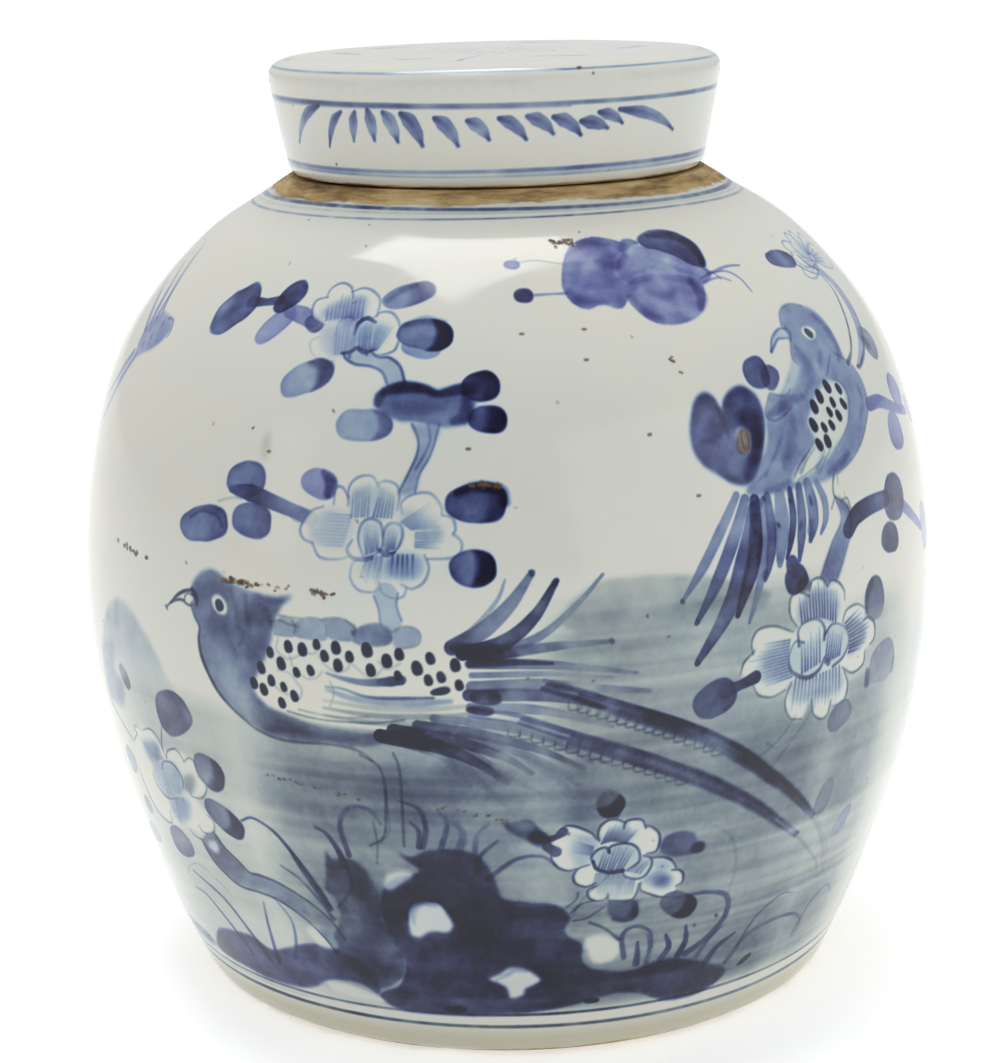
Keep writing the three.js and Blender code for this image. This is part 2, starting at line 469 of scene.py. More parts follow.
def oval(canvas, start, end, width, tone, kind='blue', tip=None, tip_kind=None, pool=(-0.3, 0.6),
         rim=0.35, soft=0.4, drag=0.2, swell=0.1):
    """A leaf or petal pressed from start (-1) to end (1). With tip, colour pools over the stretch of pool."""
    canvas.touch(start, end, width, tone, kind, tip, tip_kind, pool, rim, soft, drag, swell)


def dots(canvas, places, width, tone, kind='grey', lean=0.35):
    """Short dark touches, slightly longer than wide and leaning."""
    for angle, height in places:
        size = width * (1 + 0.1 * canvas.random.uniform(-1, 1))
        aside, up = lean * 0.5 * canvas.random.uniform(0.6, 1.4), 0.68 * size
        oval(canvas, (angle - aside, height + up), (angle + aside, height - up), size, tone, kind, rim=0.1,
             soft=0.35, drag=0.1)


def fan(canvas, feet, tips, count, tone=1.0, width=0.5, kind='dusk'):
    """Fine brush lines drawn from one line of points out towards another."""
    feet, tips = curve(feet, spacing=0.2), curve(tips, spacing=0.2)
    for i in range(count):
        t = (i + 0.5) / count
        foot, far = feet[int(t * (len(feet) - 1))], tips[int(t * (len(tips) - 1))]
        reach = 1 + 0.14 * canvas.random.uniform(-1, 1)
        points = [foot, foot + (far - foot) * 0.55 * reach, foot + (far - foot) * reach]
        line(canvas, points, [width, 0.8 * width, 0.4 * width], [1.25 * tone, tone, 0.6 * tone], kind,
             soft=0.25)


def ring(canvas, height, width, tone, kind='grey', start=-180.0, end=180.0):
    """A banding line drawn while the jar turns, so it goes right round."""
    turns = np.arange(start, end, 6.0)
    wander = 0.25 * np.sin(np.radians(turns) * 2 + height)
    if end - start >= 360:
        turns = np.append(turns, start + 360.0)
        wander = np.append(wander, wander[0])
    points = np.stack([turns, height + wander], axis=1)
    pressure = 1 + 0.25 * np.sin(np.radians(turns) * 3 + height) + 0.15 * np.sin(np.radians(turns) * 7)
    line(canvas, points, width, tone * pressure, kind, soft=0.35, drag=0.3)


# ---------------------------------------------------------------------------
# Motifs
# ---------------------------------------------------------------------------

def petal(c, base, tip, width, wash=0.35, hairs=7, kind='dusk', ink=1.0):
    """A fan-shaped petal: a thin outline notched at the tip, fine lines from its foot and a pale wash."""
    scale = c.mm_per_degree(base[1])
    along = np.array([(tip[0] - base[0]) * scale, tip[1] - base[1]])
    length = math.hypot(*along)
    along /= length
    side = np.array([-along[1], along[0]])

    def at(forward, sideways):
        x, y = along * forward * length + side * sideways * 1.12 * width
        return (base[0] + x / scale, base[1] + y)

    c.fill([at(0, 0.12), at(0.5, 0.42), at(0.95, 0.38), at(0.95, -0.38), at(0.5, -0.42), at(0, -0.12)], 0.8,
           erase=True, soft=0.4)
    if wash:
        c.fill([at(0, 0.12), at(0.4, 0.32), at(0.66, 0.2), at(0.66, -0.24), at(0.35, -0.34), at(0, -0.12)],
               0.8 * wash, kind, soft=0.9)
    outline = [at(0.0, 0.16), at(0.30, 0.40), at(0.70, 0.55), at(0.94, 0.44), at(1.03, 0.22), at(0.94, 0.0),
               at(1.03, -0.22), at(0.95, -0.44), at(0.70, -0.55), at(0.30, -0.40), at(0.0, -0.16)]
    line(c, outline, [0.45, 0.7, 0.5, 0.7, 0.45], [ink, 0.75 * ink, 0.9 * ink, 0.7 * ink, ink], 'dusk')
    if hairs:
        fan(c, [at(0.04, 0.16), at(0.1, 0.0), at(0.04, -0.16)],
            [at(0.62, 0.42), at(0.78, 0.2), at(0.66, 0.0), at(0.78, -0.2), at(0.62, -0.42)],
            hairs, 0.9 * ink)


def blossom(c, lobes, ink, kind='dusk'):
    """The scalloped outline of a flower, drawn lobe by lobe clockwise, kept clear of what is behind it."""
    c.fill([place for lobe in lobes for place in lobe], 0.9, erase=True, soft=0.5)
    for lobe in lobes:
        line(c, lobe, [0.5, 0.75, 0.55], [0.8 * ink, ink, 0.75 * ink], kind, soft=0.32)


def brushed(c, patches, fans, kind='dusk'):
    """The inside of a flower: patches of thin colour, then fans of fine lines."""
    for outline, tone, shade in patches:
        c.fill(outline, tone, shade, soft=0.8, drag=0.25)
    for feet, tips, count, tone, width in fans:
        fan(c, feet, tips, count, tone, width, kind)


def stem(c, points, width, wash=0.7, ink=1.1):
    """A hollow-drawn stem: a pale wash between two thin outlines."""
    samples = np.array(points, float)
    widths = spread(width, np.linspace(0, 1, len(samples)))
    line(c, points, width, wash, 'dusk', soft=0.4)
    for side in (-0.5, 0.5):
        edge = []
        for i, (angle, height) in enumerate(samples):
            ahead = samples[min(i + 1, len(samples) - 1)] - samples[max(i - 1, 0)]
            scale = c.mm_per_degree(height)
            x, y = ahead[0] * scale, ahead[1]
            norm = math.hypot(x, y)
            edge.append((angle - side * widths[i] * y / norm / scale, height + side * widths[i] * x / norm))
        line(c, edge, 0.55, ink, 'dusk')


def blade(c, points, width=1.3, tone=1.5):
    """A blade of grass: thin at its tip, pressed wider towards its foot."""
    widths = [0.5 * width, 0.8 * width, width, 1.15 * width]
    line(c, points, widths, [0.9 * tone, tone, 1.1 * tone, 1.15 * tone], 'dusk', soft=0.32)


# ---------------------------------------------------------------------------
# The painted front
# ---------------------------------------------------------------------------

def flowering_branch(c):
    """The spray of two blossoms on the left."""
    oval(c, (-49.2, 188.2), (-43.2, 197.6), 11.0, [1.8, 1.7, 2.3], 'dusk', rim=0.3)
    oval(c, (-48.0, 190.6), (-46.4, 193.6), 3.6, 0.5, 'blue', rim=0, soft=0.9)
    line(c, [(-43.6, 195.1), (-40.4, 195.4), (-37.5, 196.2)], [3.4, 2.2, 2.8], 2.3, 'dusk')
    oval(c, (-37.6, 193.4), (-34.3, 200.2), 6.4, [2.0, 2.7, 2.3], 'dusk')
    oval(c, (-38.4, 187.0), (-33.8, 194.5), 6.7, [0.8, 0.65, 0.8], 'lilac', rim=0.6)
    line(c, [(-34.6, 194.0), (-32.2, 193.4), (-29.7, 192.2)], [4.0, 4.8, 4.2], 1.0, 'lilac', rim=0.3)
    oval(c, (-30.9, 192.8), (-27.8, 190.5), 4.2, 1.5, 'violet')

    blossom(c, ([(-27.5, 191.5), (-29.9, 192.9), (-30.7, 195.2), (-30.4, 196.8), (-28.7, 197.5)],
                [(-28.9, 197.5), (-28.7, 199.4), (-27.1, 200.7), (-25.1, 199.9), (-24.1, 197.8)],
                [(-24.6, 198.9), (-22.9, 199.8), (-21.0, 199.3), (-19.3, 197.4), (-19.1, 193.9)],
                [(-19.5, 193.7), (-18.5, 194.8), (-16.8, 194.7), (-15.6, 193.2), (-15.0, 191.5)],
                [(-15.0, 191.5), (-14.9, 188.9), (-15.3, 186.7), (-16.6, 185.8), (-18.0, 185.5)]), 0.95)
    line(c, [(-27.7, 188.9), (-28.8, 187.7), (-27.9, 185.3), (-25.9, 183.7), (-23.9, 183.9)], 0.5, 0.3,
         'dusk')
    brushed(c, (([(-28.2, 193.0), (-28.2, 195.4), (-25.0, 197.4), (-21.8, 197.8), (-21.2, 193.4),
                  (-24.0, 192.4)], 0.5, 'lilac'),
                ([(-24.4, 185.4), (-25.4, 189.4), (-25.0, 192.6), (-23.4, 193.4), (-21.6, 192.0),
                  (-21.0, 188.0), (-21.8, 185.6)], 0.4, 'lilac'),
                ([(-27.4, 191.4), (-27.0, 187.4), (-24.6, 184.2), (-24.0, 186.0), (-25.4, 191.0)], 0.32,
                 'lilac'),
                ([(-21.2, 187.0), (-21.6, 192.0), (-19.2, 192.4), (-16.6, 191.4), (-17.6, 187.4),
                  (-19.4, 186.0)], 0.42, 'blue')),
            (([(-27.6, 192.6), (-24.4, 193.4), (-21.2, 193.4)],
              [(-28.2, 196.0), (-25.0, 198.2), (-21.8, 198.2)], 10, 0.62, 0.9),
             ([(-24.4, 185.4), (-22.4, 185.6), (-21.2, 186.6)],
              [(-25.4, 191.4), (-23.6, 192.8), (-21.8, 191.4)], 7, 0.75, 0.5),
             ([(-20.8, 186.4), (-18.9, 187.0)], [(-21.4, 191.6), (-19.5, 192.0)], 5, 1.0, 0.5),
             ([(-18.8, 186.8), (-17.8, 186.6)], [(-18.8, 192.6), (-16.2, 191.0)], 6, 0.75, 0.5)))
    line(c, [(-25.0, 189.6), (-25.0, 192.4), (-23.6, 193.6), (-22.2, 192.6)], 0.5, 0.5, 'lilac')
    line(c, [(-22.0, 189.8), (-21.8, 192.2), (-20.6, 193.4), (-19.1, 192.6)], [0.6, 1.2, 1.3, 0.8],
         [1.2, 1.9, 1.9, 1.2], 'dusk')
    line(c, [(-23.2, 185.7), (-21.9, 186.0), (-21.0, 186.9), (-19.8, 186.1), (-18.4, 186.6)],
         [0.8, 1.2, 1.2, 1.3, 0.8], 1.5, 'dusk')
    low = [(-22.9, 185.6), (-22.3, 184.5), (-20.7, 183.4), (-18.5, 183.1), (-16.6, 181.9), (-15.5, 179.0)]
    high = [(-18.8, 186.3), (-17.5, 185.1), (-15.8, 185.0), (-14.1, 183.1), (-13.1, 179.4)]
    c.fill(low + high[::-1], 0.55, 'dusk', soft=0.4)
    line(c, low, 0.75, [1.7, 1.5, 0.9], 'dusk')
    line(c, high, 0.75, [1.2, 1.5, 1.6], 'dusk')
    dots(c, [(-21.9, 185.2), (-19.4, 185.9)], 1.0, 1.3, 'blue')

    oval(c, (-18.6, 196.8), (-10.7, 200.1), 6.8, [0.95, 0.65, 0.7], 'dusk', tip=0.9, tip_kind='violet',
         swell=0.0)
    line(c, [(-18.0, 197.4), (-16.0, 199.6), (-13.8, 200.6)], [1.0, 1.4, 0.8], 0.6, 'dusk', soft=0.8)
    oval(c, (-14.4, 187.6), (-8.6, 187.2), 6.0, 0.7, 'blue', rim=0.4)
    oval(c, (-15.4, 190.6), (-7.0, 189.6), 8.6, [1.3, 1.1, 1.6], 'dusk', 2.4, 'blue', (0.3, 0.55), rim=0.5)
    line(c, [(-14.2, 192.2), (-11.4, 193.2), (-8.6, 192.6)], [1.4, 2.4, 1.6], 0.9, 'blue', soft=0.8)
    oval(c, (-31.4, 176.9), (-24.1, 182.4), 8.0, [0.8, 0.62, 0.9], 'dusk', 1.6, 'violet', (0.2, 0.5),
         rim=0.5, swell=0.0)

    body = [(-17.1, 175.4), (-16.5, 177.7), (-15.2, 179.3), (-13.2, 179.8), (-10.8, 179.2), (-8.6, 178.1),
            (-6.7, 178.8), (-4.6, 179.4), (-3.3, 177.6), (-3.6, 174.8), (-4.0, 171.4), (-5.8, 170.4),
            (-8.4, 170.2), (-11.0, 171.2), (-13.4, 171.4), (-15.3, 172.6), (-16.6, 173.9)]
    c.fill(body, 1.45, 'dusk', soft=0.5, drag=0.35, rim=0.3)
    line(c, [(-15.9, 177.6), (-13.1, 178.7), (-10.3, 178.3), (-8.6, 177.3), (-6.3, 178.1), (-3.7, 178.7)],
         [1.8, 3.0, 2.4, 1.6, 2.6, 3.0], 1.5, 'blue', soft=0.6)
    line(c, [(-16.6, 175.2), (-16.4, 176.6)], [2.2, 2.6], 0.9, 'ash', soft=0.6)
    line(c, [(-4.8, 176.6), (-4.8, 172.6), (-6.4, 171.2)], [2.4, 3.2, 1.6], 0.9, 'blue', soft=0.7)
    line(c, [(-13.8, 174.2), (-10.6, 173.6), (-8.0, 174.4)], [2.0, 3.0, 2.0], 0.35, 'violet', soft=1.0)
    oval(c, (-5.5, 178.4), (-0.5, 179.3), 7.4, [2.2, 2.4, 2.6], 'dusk', tip=1.0, tip_kind='blue')
    oval(c, (-4.6, 171.8), (0.4, 171.2), 6.6, [2.0, 1.6, 2.0], 'dusk', tip=1.6, tip_kind='blue')
    oval(c, (-21.8, 169.7), (-14.3, 170.2), 7.8, [0.75, 0.62, 0.8], 'dusk', 0.8, 'violet', (0.35, 0.6),
         rim=0.5, swell=0.0)
    left = [(-11.7, 170.5), (-10.8, 167.0), (-10.9, 163.6), (-11.9, 159.2), (-13.1, 154.6)]
    right = [(-8.2, 170.4), (-8.8, 165.8), (-9.5, 162.5), (-10.5, 159.2), (-11.0, 155.0)]
    c.fill(left + right[::-1], 0.7, 'dusk', soft=0.5)
    line(c, left, 0.7, 1.1, 'dusk')
    line(c, right, 0.6, 0.9, 'dusk')
    line(c, [(-9.6, 170.4), (-9.3, 167.0), (-10.0, 163.6), (-11.0, 160.4)], 0.6, 0.8, 'dusk')

    oval(c, (-25.9, 156.9), (-20.9, 155.2), 7.2, [0.9, 0.75, 0.9], 'lilac', rim=0.4)
    line(c, [(-23.0, 158.8), (-22.0, 156.6), (-22.2, 153.8)], [1.4, 2.8, 2.0], 1.0, 'violet', soft=0.6)
    oval(c, (-37.4, 155.0), (-31.3, 155.6), 9.2, [1.4, 1.3, 1.7], 'dusk', rim=0.4)
    line(c, [(-36.4, 152.8), (-33.4, 152.4), (-30.2, 151.0), (-27.0, 149.4), (-24.2, 147.8)],
         [2.0, 4.4, 3.8, 3.4, 3.6],
         [1.6, 2.2, 1.7, 1.0, 1.2], 'dusk', rim=0.25)
    oval(c, (-27.4, 148.8), (-24.2, 147.6), 3.4, 0.6, 'violet', rim=0)
    oval(c, (-35.8, 145.9), (-29.8, 146.1), 8.6, [1.45, 1.4, 1.8], 'dusk', rim=0.4)
    oval(c, (-44.8, 141.8), (-36.6, 144.9), 8.8, [1.3, 1.15, 1.9], 'dusk', rim=0.6)
    line(c, [(-43.0, 144.4), (-41.0, 146.4), (-38.4, 145.8), (-37.4, 143.6)], 1.0, 0.9, 'dusk')
    line(c, [(-38.4, 149.4), (-36.4, 150.6), (-34.6, 150.8)], 0.5, 0.7, 'grey')

    blossom(c, ([(-19.3, 139.4), (-20.5, 138.7), (-22.8, 138.9), (-23.9, 142.1)],
                [(-23.9, 142.1), (-25.2, 143.1), (-25.6, 145.6), (-24.4, 149.4), (-22.7, 150.9)],
                [(-21.3, 151.6), (-21.2, 155.2), (-20.3, 155.6), (-19.4, 153.4)],
                [(-19.4, 151.6), (-19.4, 155.7), (-18.3, 158.1), (-16.5, 158.5), (-15.6, 156.2)],
                [(-15.7, 156.9), (-14.6, 157.5), (-13.3, 156.6), (-12.9, 154.3), (-13.1, 151.0)],
                [(-12.5, 150.2), (-12.6, 152.7), (-11.2, 154.6), (-9.1, 154.9), (-7.8, 152.2),
                 (-7.6, 149.9)],
                [(-7.6, 149.9), (-6.4, 149.2), (-6.0, 146.9), (-6.3, 145.3)],
                [(-6.3, 145.7), (-5.3, 143.6), (-5.5, 141.1), (-6.7, 139.9), (-9.4, 139.6)],
                [(-9.7, 140.5), (-9.2, 137.5), (-9.8, 134.2), (-11.2, 132.5), (-12.5, 133.4)],
                [(-11.9, 132.6), (-12.3, 130.6), (-13.5, 130.1), (-14.8, 131.2), (-15.2, 133.6)],
                [(-15.1, 132.2), (-16.1, 131.3), (-17.8, 131.7), (-18.8, 134.4), (-18.6, 137.8),
                 (-17.9, 138.9)]), 0.8)
    brushed(c, (([(-19.0, 150.0), (-18.8, 155.0), (-15.9, 156.4), (-13.6, 154.6), (-13.4, 149.6),
                  (-16.0, 148.6)], 0.34, 'dusk'),
                ([(-12.8, 148.4), (-12.0, 151.2), (-8.4, 148.0), (-7.6, 144.6), (-10.4, 142.6),
                  (-10.4, 146.0)], 0.42, 'dusk'),
                ([(-24.0, 147.8), (-24.0, 142.8), (-19.4, 141.4), (-18.6, 148.6), (-21.6, 150.4)], 0.24,
                 'lilac'),
                ([(-17.6, 138.8), (-18.0, 135.4), (-14.0, 134.6), (-13.6, 139.8)], 0.18, 'dusk'),
                ([(-13.9, 140.2), (-14.2, 135.6), (-10.6, 135.2), (-10.2, 140.0)], 0.62, 'blue')),
            (([(-19.0, 148.8), (-16.6, 149.4)], [(-19.0, 154.6), (-16.4, 156.8)], 6, 0.75, 0.5),
             ([(-16.2, 149.2), (-13.6, 149.2)], [(-15.4, 155.6), (-13.4, 154.0)], 6, 1.0, 0.6),
             ([(-12.6, 148.2), (-11.2, 146.4)], [(-9.4, 152.4), (-7.6, 147.0)], 8, 0.75, 0.55),
             ([(-10.8, 145.8), (-10.8, 142.0)], [(-7.2, 146.4), (-8.0, 141.6)], 6, 0.7, 0.5),
             ([(-18.9, 149.6), (-19.4, 145.6), (-20.0, 141.4)],
              [(-22.6, 149.6), (-23.6, 145.0), (-23.0, 141.2)], 10, 0.55, 0.5),
             ([(-16.9, 139.4), (-14.6, 140.0)], [(-17.8, 134.2), (-15.0, 134.0)], 8, 0.8, 0.5),
             ([(-13.8, 140.2), (-10.8, 140.4)], [(-14.0, 135.0), (-10.8, 135.2)], 5, 0.8, 0.7)))
    for heart, tone in (
            ([(-17.2, 139.6), (-17.9, 143.5), (-17.6, 147.1), (-16.5, 148.7), (-15.2, 147.7),
              (-14.8, 144.5), (-15.1, 141.4), (-16.4, 139.7)], 0.22),
            ([(-14.6, 141.6), (-14.7, 145.6), (-14.0, 147.7), (-12.7, 147.4), (-12.4, 145.1),
              (-12.9, 142.3), (-13.7, 140.8)], 0.25)):
        c.fill(heart, 0.9, erase=True, soft=0.35)
        c.fill(heart, tone, 'dusk', soft=0.4)
        line(c, heart + heart[:1], [0.5, 0.75, 0.8, 0.5], 1.0, 'dusk')
    fan(c, [(-17.0, 140.2), (-15.2, 141.6)], [(-17.3, 146.4), (-15.2, 146.8)], 7, 0.95, 0.5)
    fan(c, [(-14.4, 141.4), (-13.2, 142.0)], [(-14.4, 146.8), (-12.8, 146.2)], 5, 1.0, 0.5)
    line(c, [(-18.7, 143.4), (-19.3, 141.2), (-18.6, 139.3), (-17.2, 139.0), (-16.2, 139.6)],
         [0.5, 0.9, 1.1, 1.2], 1.1, 'dusk')
    line(c, [(-15.2, 141.4), (-14.4, 140.4), (-13.4, 140.9)], [1.0, 1.4, 0.8], 1.2, 'dusk')
    stem(c, [(-14.4, 130.8), (-14.2, 127.8), (-13.8, 124.2)], [6.0, 4.6, 5.4], 0.45, 0.95)
    oval(c, (-7.2, 152.2), (0.3, 153.1), 9.8, [2.3, 1.6, 1.7], 'dusk', 1.0, 'blue', (0.2, 0.7), rim=0.2)
    line(c, [(-5.8, 155.0), (-3.6, 156.4), (-0.6, 155.6), (0.0, 152.8)], [1.4, 2.2, 2.6, 2.0], 1.3, 'blue',
         soft=0.8)
    oval(c, (-6.8, 137.5), (-1.2, 137.2), 9.0, [1.9, 1.4, 1.8], 'dusk', 1.9, 'blue', (0.1, 0.5), rim=0.3)


def pheasant(c):
    """The long-tailed bird standing on the rock."""
    ground = [(-29.5, 119.5), (-26, 119.8), (-22, 119.6), (-14, 117.8), (-8, 119), (-4.6, 116), (-4.6, 105),
              (-8, 98), (-20, 97), (-27, 98.5), (-31.5, 103), (-31, 110), (-29.2, 115)]
    c.fill(ground, 0.95, erase=True, soft=0.5)
    body = [(-42.1, 126.9), (-41.4, 129.4), (-40.2, 131.5), (-38.8, 132.3), (-37.3, 131.8), (-36.1, 130.4),
            (-34.5, 129.6), (-32.7, 128.8), (-30.6, 128.3), (-28.3, 128.3), (-26.4, 128.9), (-27.2, 127.6),
            (-28.0, 126.0), (-28.5, 124.1), (-28.9, 122.5), (-29.4, 117.9), (-29.8, 115.3), (-30.6, 112.0),
            (-31.5, 108.7), (-32.4, 105.8), (-32.2, 103.2), (-31.4, 101.4), (-30.1, 99.7), (-27.9, 98.6),
            (-25.7, 97.5), (-23.1, 96.6), (-20.5, 96.3), (-17.9, 95.8), (-15.9, 96.2), (-14.4, 95.6),
            (-15.3, 93.5), (-17.3, 92.3), (-19.6, 91.9), (-22.2, 92.3), (-25.5, 92.0), (-28.3, 92.0),
            (-31.1, 92.9), (-33.4, 94.8), (-35.7, 97.6), (-37.8, 101.3), (-39.3, 105.7), (-40.3, 110.1),
            (-40.8, 114.0), (-40.6, 117.3), (-41.4, 119.5), (-42.0, 122.1), (-42.2, 124.4)]
    c.fill(body, 1.45, 'steel', soft=0.4, drag=0.3, rim=0.15)
    c.fill([(-39.6, 121.0), (-37.2, 120.0), (-34.6, 121.2), (-31.6, 127.0), (-30.2, 122.0), (-30.4, 115.0),
            (-32.4, 109.0), (-34.0, 114.0), (-36.6, 117.0), (-39.6, 118.4)], 0.45, 'steel', soft=1.4)
    c.fill([(-39.4, 115.4), (-36.4, 114.4), (-34.6, 107.6), (-32.8, 101.0), (-35.8, 100.0), (-38.4, 104.6),
            (-39.6, 110.0)], 0.32, erase=True, soft=1.6)
    for points, width, tone in (
            ([(-35.4, 128.6), (-34.6, 124.0), (-34.2, 119.6)], 1.6, 0.5),
            ([(-33.2, 127.6), (-32.8, 123.0), (-32.6, 118.0)], 1.8, 0.5),
            ([(-34.4, 119.8), (-33.4, 117.6), (-34.2, 114.8)], 1.4, 0.6),
            ([(-36.6, 119.4), (-35.2, 114.0), (-33.6, 109.4)], 1.2, 0.35),
            ([(-31.0, 93.8), (-27.0, 94.6), (-23.0, 93.8), (-18.6, 94.0)], 1.8, 0.7),
            ([(-29.0, 96.4), (-25.0, 95.0)], 1.6, 0.4),
            ([(-31.6, 128.2), (-29.6, 127.2), (-27.8, 127.4)], 1.4, 0.5),
            ([(-31.0, 125.6), (-29.8, 124.0), (-29.6, 120.4)], 1.2, 0.5)):
        line(c, points, [0.5 * width, width, 0.5 * width], tone, 'steel', soft=0.7)
    line(c, [(-42.1, 124.4), (-42.0, 122.1), (-41.3, 119.5), (-40.6, 117.5), (-40.8, 114.4), (-40.5, 110.3),
             (-39.5, 106.0), (-38.1, 101.7), (-36.3, 98.3), (-34.3, 95.6), (-32.3, 93.3), (-29.4, 91.8),
             (-26.0, 91.7), (-22.8, 92.1), (-19.9, 91.7), (-18.1, 90.6), (-16.9, 88.7)],
         [0.5, 0.7, 1.1, 1.0, 0.9, 0.8, 0.8, 0.8, 0.7, 0.7], [1.0, 1.6, 2.4, 2.2, 1.9, 1.6, 1.5, 1.3, 1.3,
                 1.1], 'grey')

    line(c, [(-42.0, 126.7), (-41.5, 125.6), (-41.1, 124.2), (-41.1, 123.0)], [0.8, 1.3, 1.2, 0.6], 2.4,
         'grey')
    line(c, [(-42.0, 126.5), (-43.5, 125.6), (-44.8, 124.1), (-45.8, 122.3), (-46.8, 120.6)],
         [0.7, 0.9, 0.9, 0.7, 0.5], 2.0, 'grey')
    line(c, [(-46.0, 121.8), (-44.8, 123.0), (-43.7, 123.3), (-42.9, 122.6), (-42.2, 122.4)],
         [0.5, 0.7, 0.8, 0.6], 1.8, 'grey')
    c.fill([(-43.2, 124.2), (-42.6, 125.2), (-41.9, 124.9), (-41.7, 123.8), (-42.3, 123.1), (-43.0, 123.2)],
           0.95, erase=True, soft=0.25)
    line(c, [(-43.3, 123.6), (-43.2, 124.6), (-42.6, 125.4), (-41.8, 125.2)], 0.5, 1.4, 'grey')
    dots(c, [(-46.9, 120.4)], 0.8, 1.5, 'grey')
    eye = [(-38.5, 125.3), (-38.0, 126.5), (-37.1, 126.6), (-36.2, 125.1), (-35.9, 123.4), (-36.3, 121.9),
           (-37.0, 121.6), (-37.9, 122.4), (-38.4, 123.8)]
    c.fill([(-39.0, 125.4), (-38.2, 127.2), (-36.8, 127.2), (-35.6, 125.2), (-35.4, 122.8), (-36.2, 120.9),
            (-37.4, 121.0), (-38.6, 122.6)], 0.8, 'steel', soft=0.4)
    c.fill(eye, 0.97, erase=True, soft=0.28)
    oval(c, (-37.6, 125.4), (-36.9, 122.7), 2.5, 2.6, 'grey', drag=0)

    for feather, tone in (
            ([(-29.5, 121.9), (-28.0, 122.7), (-26.7, 122.0), (-25.5, 121.7), (-26.0, 119.4),
              (-27.2, 118.9), (-28.9, 119.0)], 0.7),
            ([(-28.2, 123.8), (-26.9, 123.6), (-25.0, 123.5), (-25.4, 121.6), (-26.8, 121.8),
              (-28.2, 122.6)], 0.55),
            ([(-26.0, 122.0), (-25.0, 123.5), (-24.0, 124.0), (-22.9, 123.9), (-21.9, 122.4),
              (-21.8, 120.4), (-22.2, 118.9), (-24.0, 118.8), (-25.9, 119.2)], 0.8),
            ([(-22.7, 123.7), (-21.3, 124.4), (-19.8, 124.4), (-18.6, 122.9), (-18.1, 121.5),
              (-18.3, 119.5), (-20.1, 119.2), (-21.7, 119.9), (-21.9, 122.4)], 1.0),
            ([(-18.1, 121.9), (-16.8, 123.3), (-15.4, 123.7), (-14.1, 122.6), (-13.7, 120.5),
              (-14.2, 118.9), (-16.4, 118.2), (-18.4, 119.0)], 1.25),
            ([(-13.6, 122.0), (-12.4, 123.2), (-11.0, 123.0), (-10.3, 121.2), (-10.8, 118.8),
              (-13.2, 117.8)], 0.55)):
        c.fill(feather, tone, 'steel', soft=0.35, drag=0.3)
        line(c, feather, 0.5, 0.7, 'grey')
    line(c, [(-19.4, 124.2), (-18.2, 122.4), (-18.4, 120.6)], [0.6, 1.0, 0.6], 1.0, 'grey')
    dots(c, [(-18.5, 121.2)], 1.0, 1.6)
    line(c, [(-26.4, 122.8), (-26.0, 121.0), (-26.2, 119.8)], 0.6, 0.9, 'grey')
    for edge in (
            [(-26.8, 113.9), (-26.3, 111.0), (-24.7, 108.8), (-23.4, 109.1), (-22.6, 110.8)],
            [(-28.6, 109.9), (-27.0, 109.6), (-26.2, 107.8), (-25.4, 105.6), (-25.8, 103.2)],
            [(-28.4, 118.4), (-28.6, 115.0), (-27.2, 113.2), (-25.6, 114.4), (-25.0, 117.0)],
            [(-25.2, 115.4), (-23.6, 115.2), (-22.6, 117.4)],
            [(-23.0, 114.8), (-22.0, 112.4), (-20.6, 111.0), (-19.2, 112.4), (-19.0, 115.6)],
            [(-18.8, 113.6), (-16.4, 110.2), (-14.8, 113.0)],
            [(-15.4, 114.4), (-14.4, 112.6), (-12.8, 114.2)],
            [(-29.8, 108.4), (-28.8, 105.2), (-27.4, 104.0)]):
        line(c, edge, 0.5, 0.55, 'grey')

    dots(c, [(-27.0, 116.3), (-25.1, 116.0), (-20.7, 117.2), (-16.8, 117.2), (-14.4, 114.7), (-20.5, 112.8),
             (-16.4, 112.2), (-12.9, 116.5), (-10.8, 113.2), (-9.2, 115.7), (-6.3, 114.2), (-31.0, 110.0),
             (-28.1, 111.8), (-32.2, 105.7), (-30.8, 104.4)], 2.45, 3.5, 'grey')
    dots(c, [(-23.2, 117.6), (-19.0, 115.2), (-22.2, 114.9), (-13.1, 111.1), (-29.6, 114.3), (-26.0, 110.0),
             (-24.1, 110.9), (-29.6, 107.0), (-27.9, 105.8), (-26.5, 103.8), (-28.3, 101.6), (-9.5, 110.3),
             (-8.0, 111.1), (-5.9, 109.1)], 1.95, 3.4, 'grey')
    line(c, [(-22.0, 110.6), (-20.0, 109.6), (-17.5, 109.0), (-15.1, 109.3), (-12.8, 110.0)],
         [0.6, 1.4, 2.0, 2.4], [0.8, 1.2, 1.6, 2.2], 'steel')
    line(c, [(-15.4, 109.3), (-14.0, 109.6), (-12.6, 110.2)], [1.4, 2.6, 2.0], 1.6, 'blue')
    line(c, [(-22.2, 107.2), (-20.1, 107.0), (-17.6, 105.6), (-15.2, 105.3), (-9.0, 105.8)],
         [0.5, 0.7, 0.9, 0.7], [0.8, 1.1, 1.5, 1.3], 'steel')
    line(c, [(-22.0, 106.4), (-18.4, 104.6), (-12.0, 104.2), (-7.0, 105.0)], [1.0, 2.0, 2.2, 1.2], 0.7,
         'steel', soft=0.6)
    line(c, [(-21.6, 108.6), (-21.2, 105.6), (-21.8, 102.2)], 0.5, 0.6, 'grey')
    oval(c, (-9.3, 107.0), (-7.0, 108.0), 1.9, 2.5, 'grey')
    for height, tone in ((103.0, 0.5), (101.0, 0.9), (99.2, 0.7)):
        line(c, [(-22.6, height + 0.6), (-16.0, height - 0.4), (-9.0, height), (-5.0, height + 0.8)],
             [0.6, 1.5, 1.8, 1.0], tone, 'grey', soft=0.5)
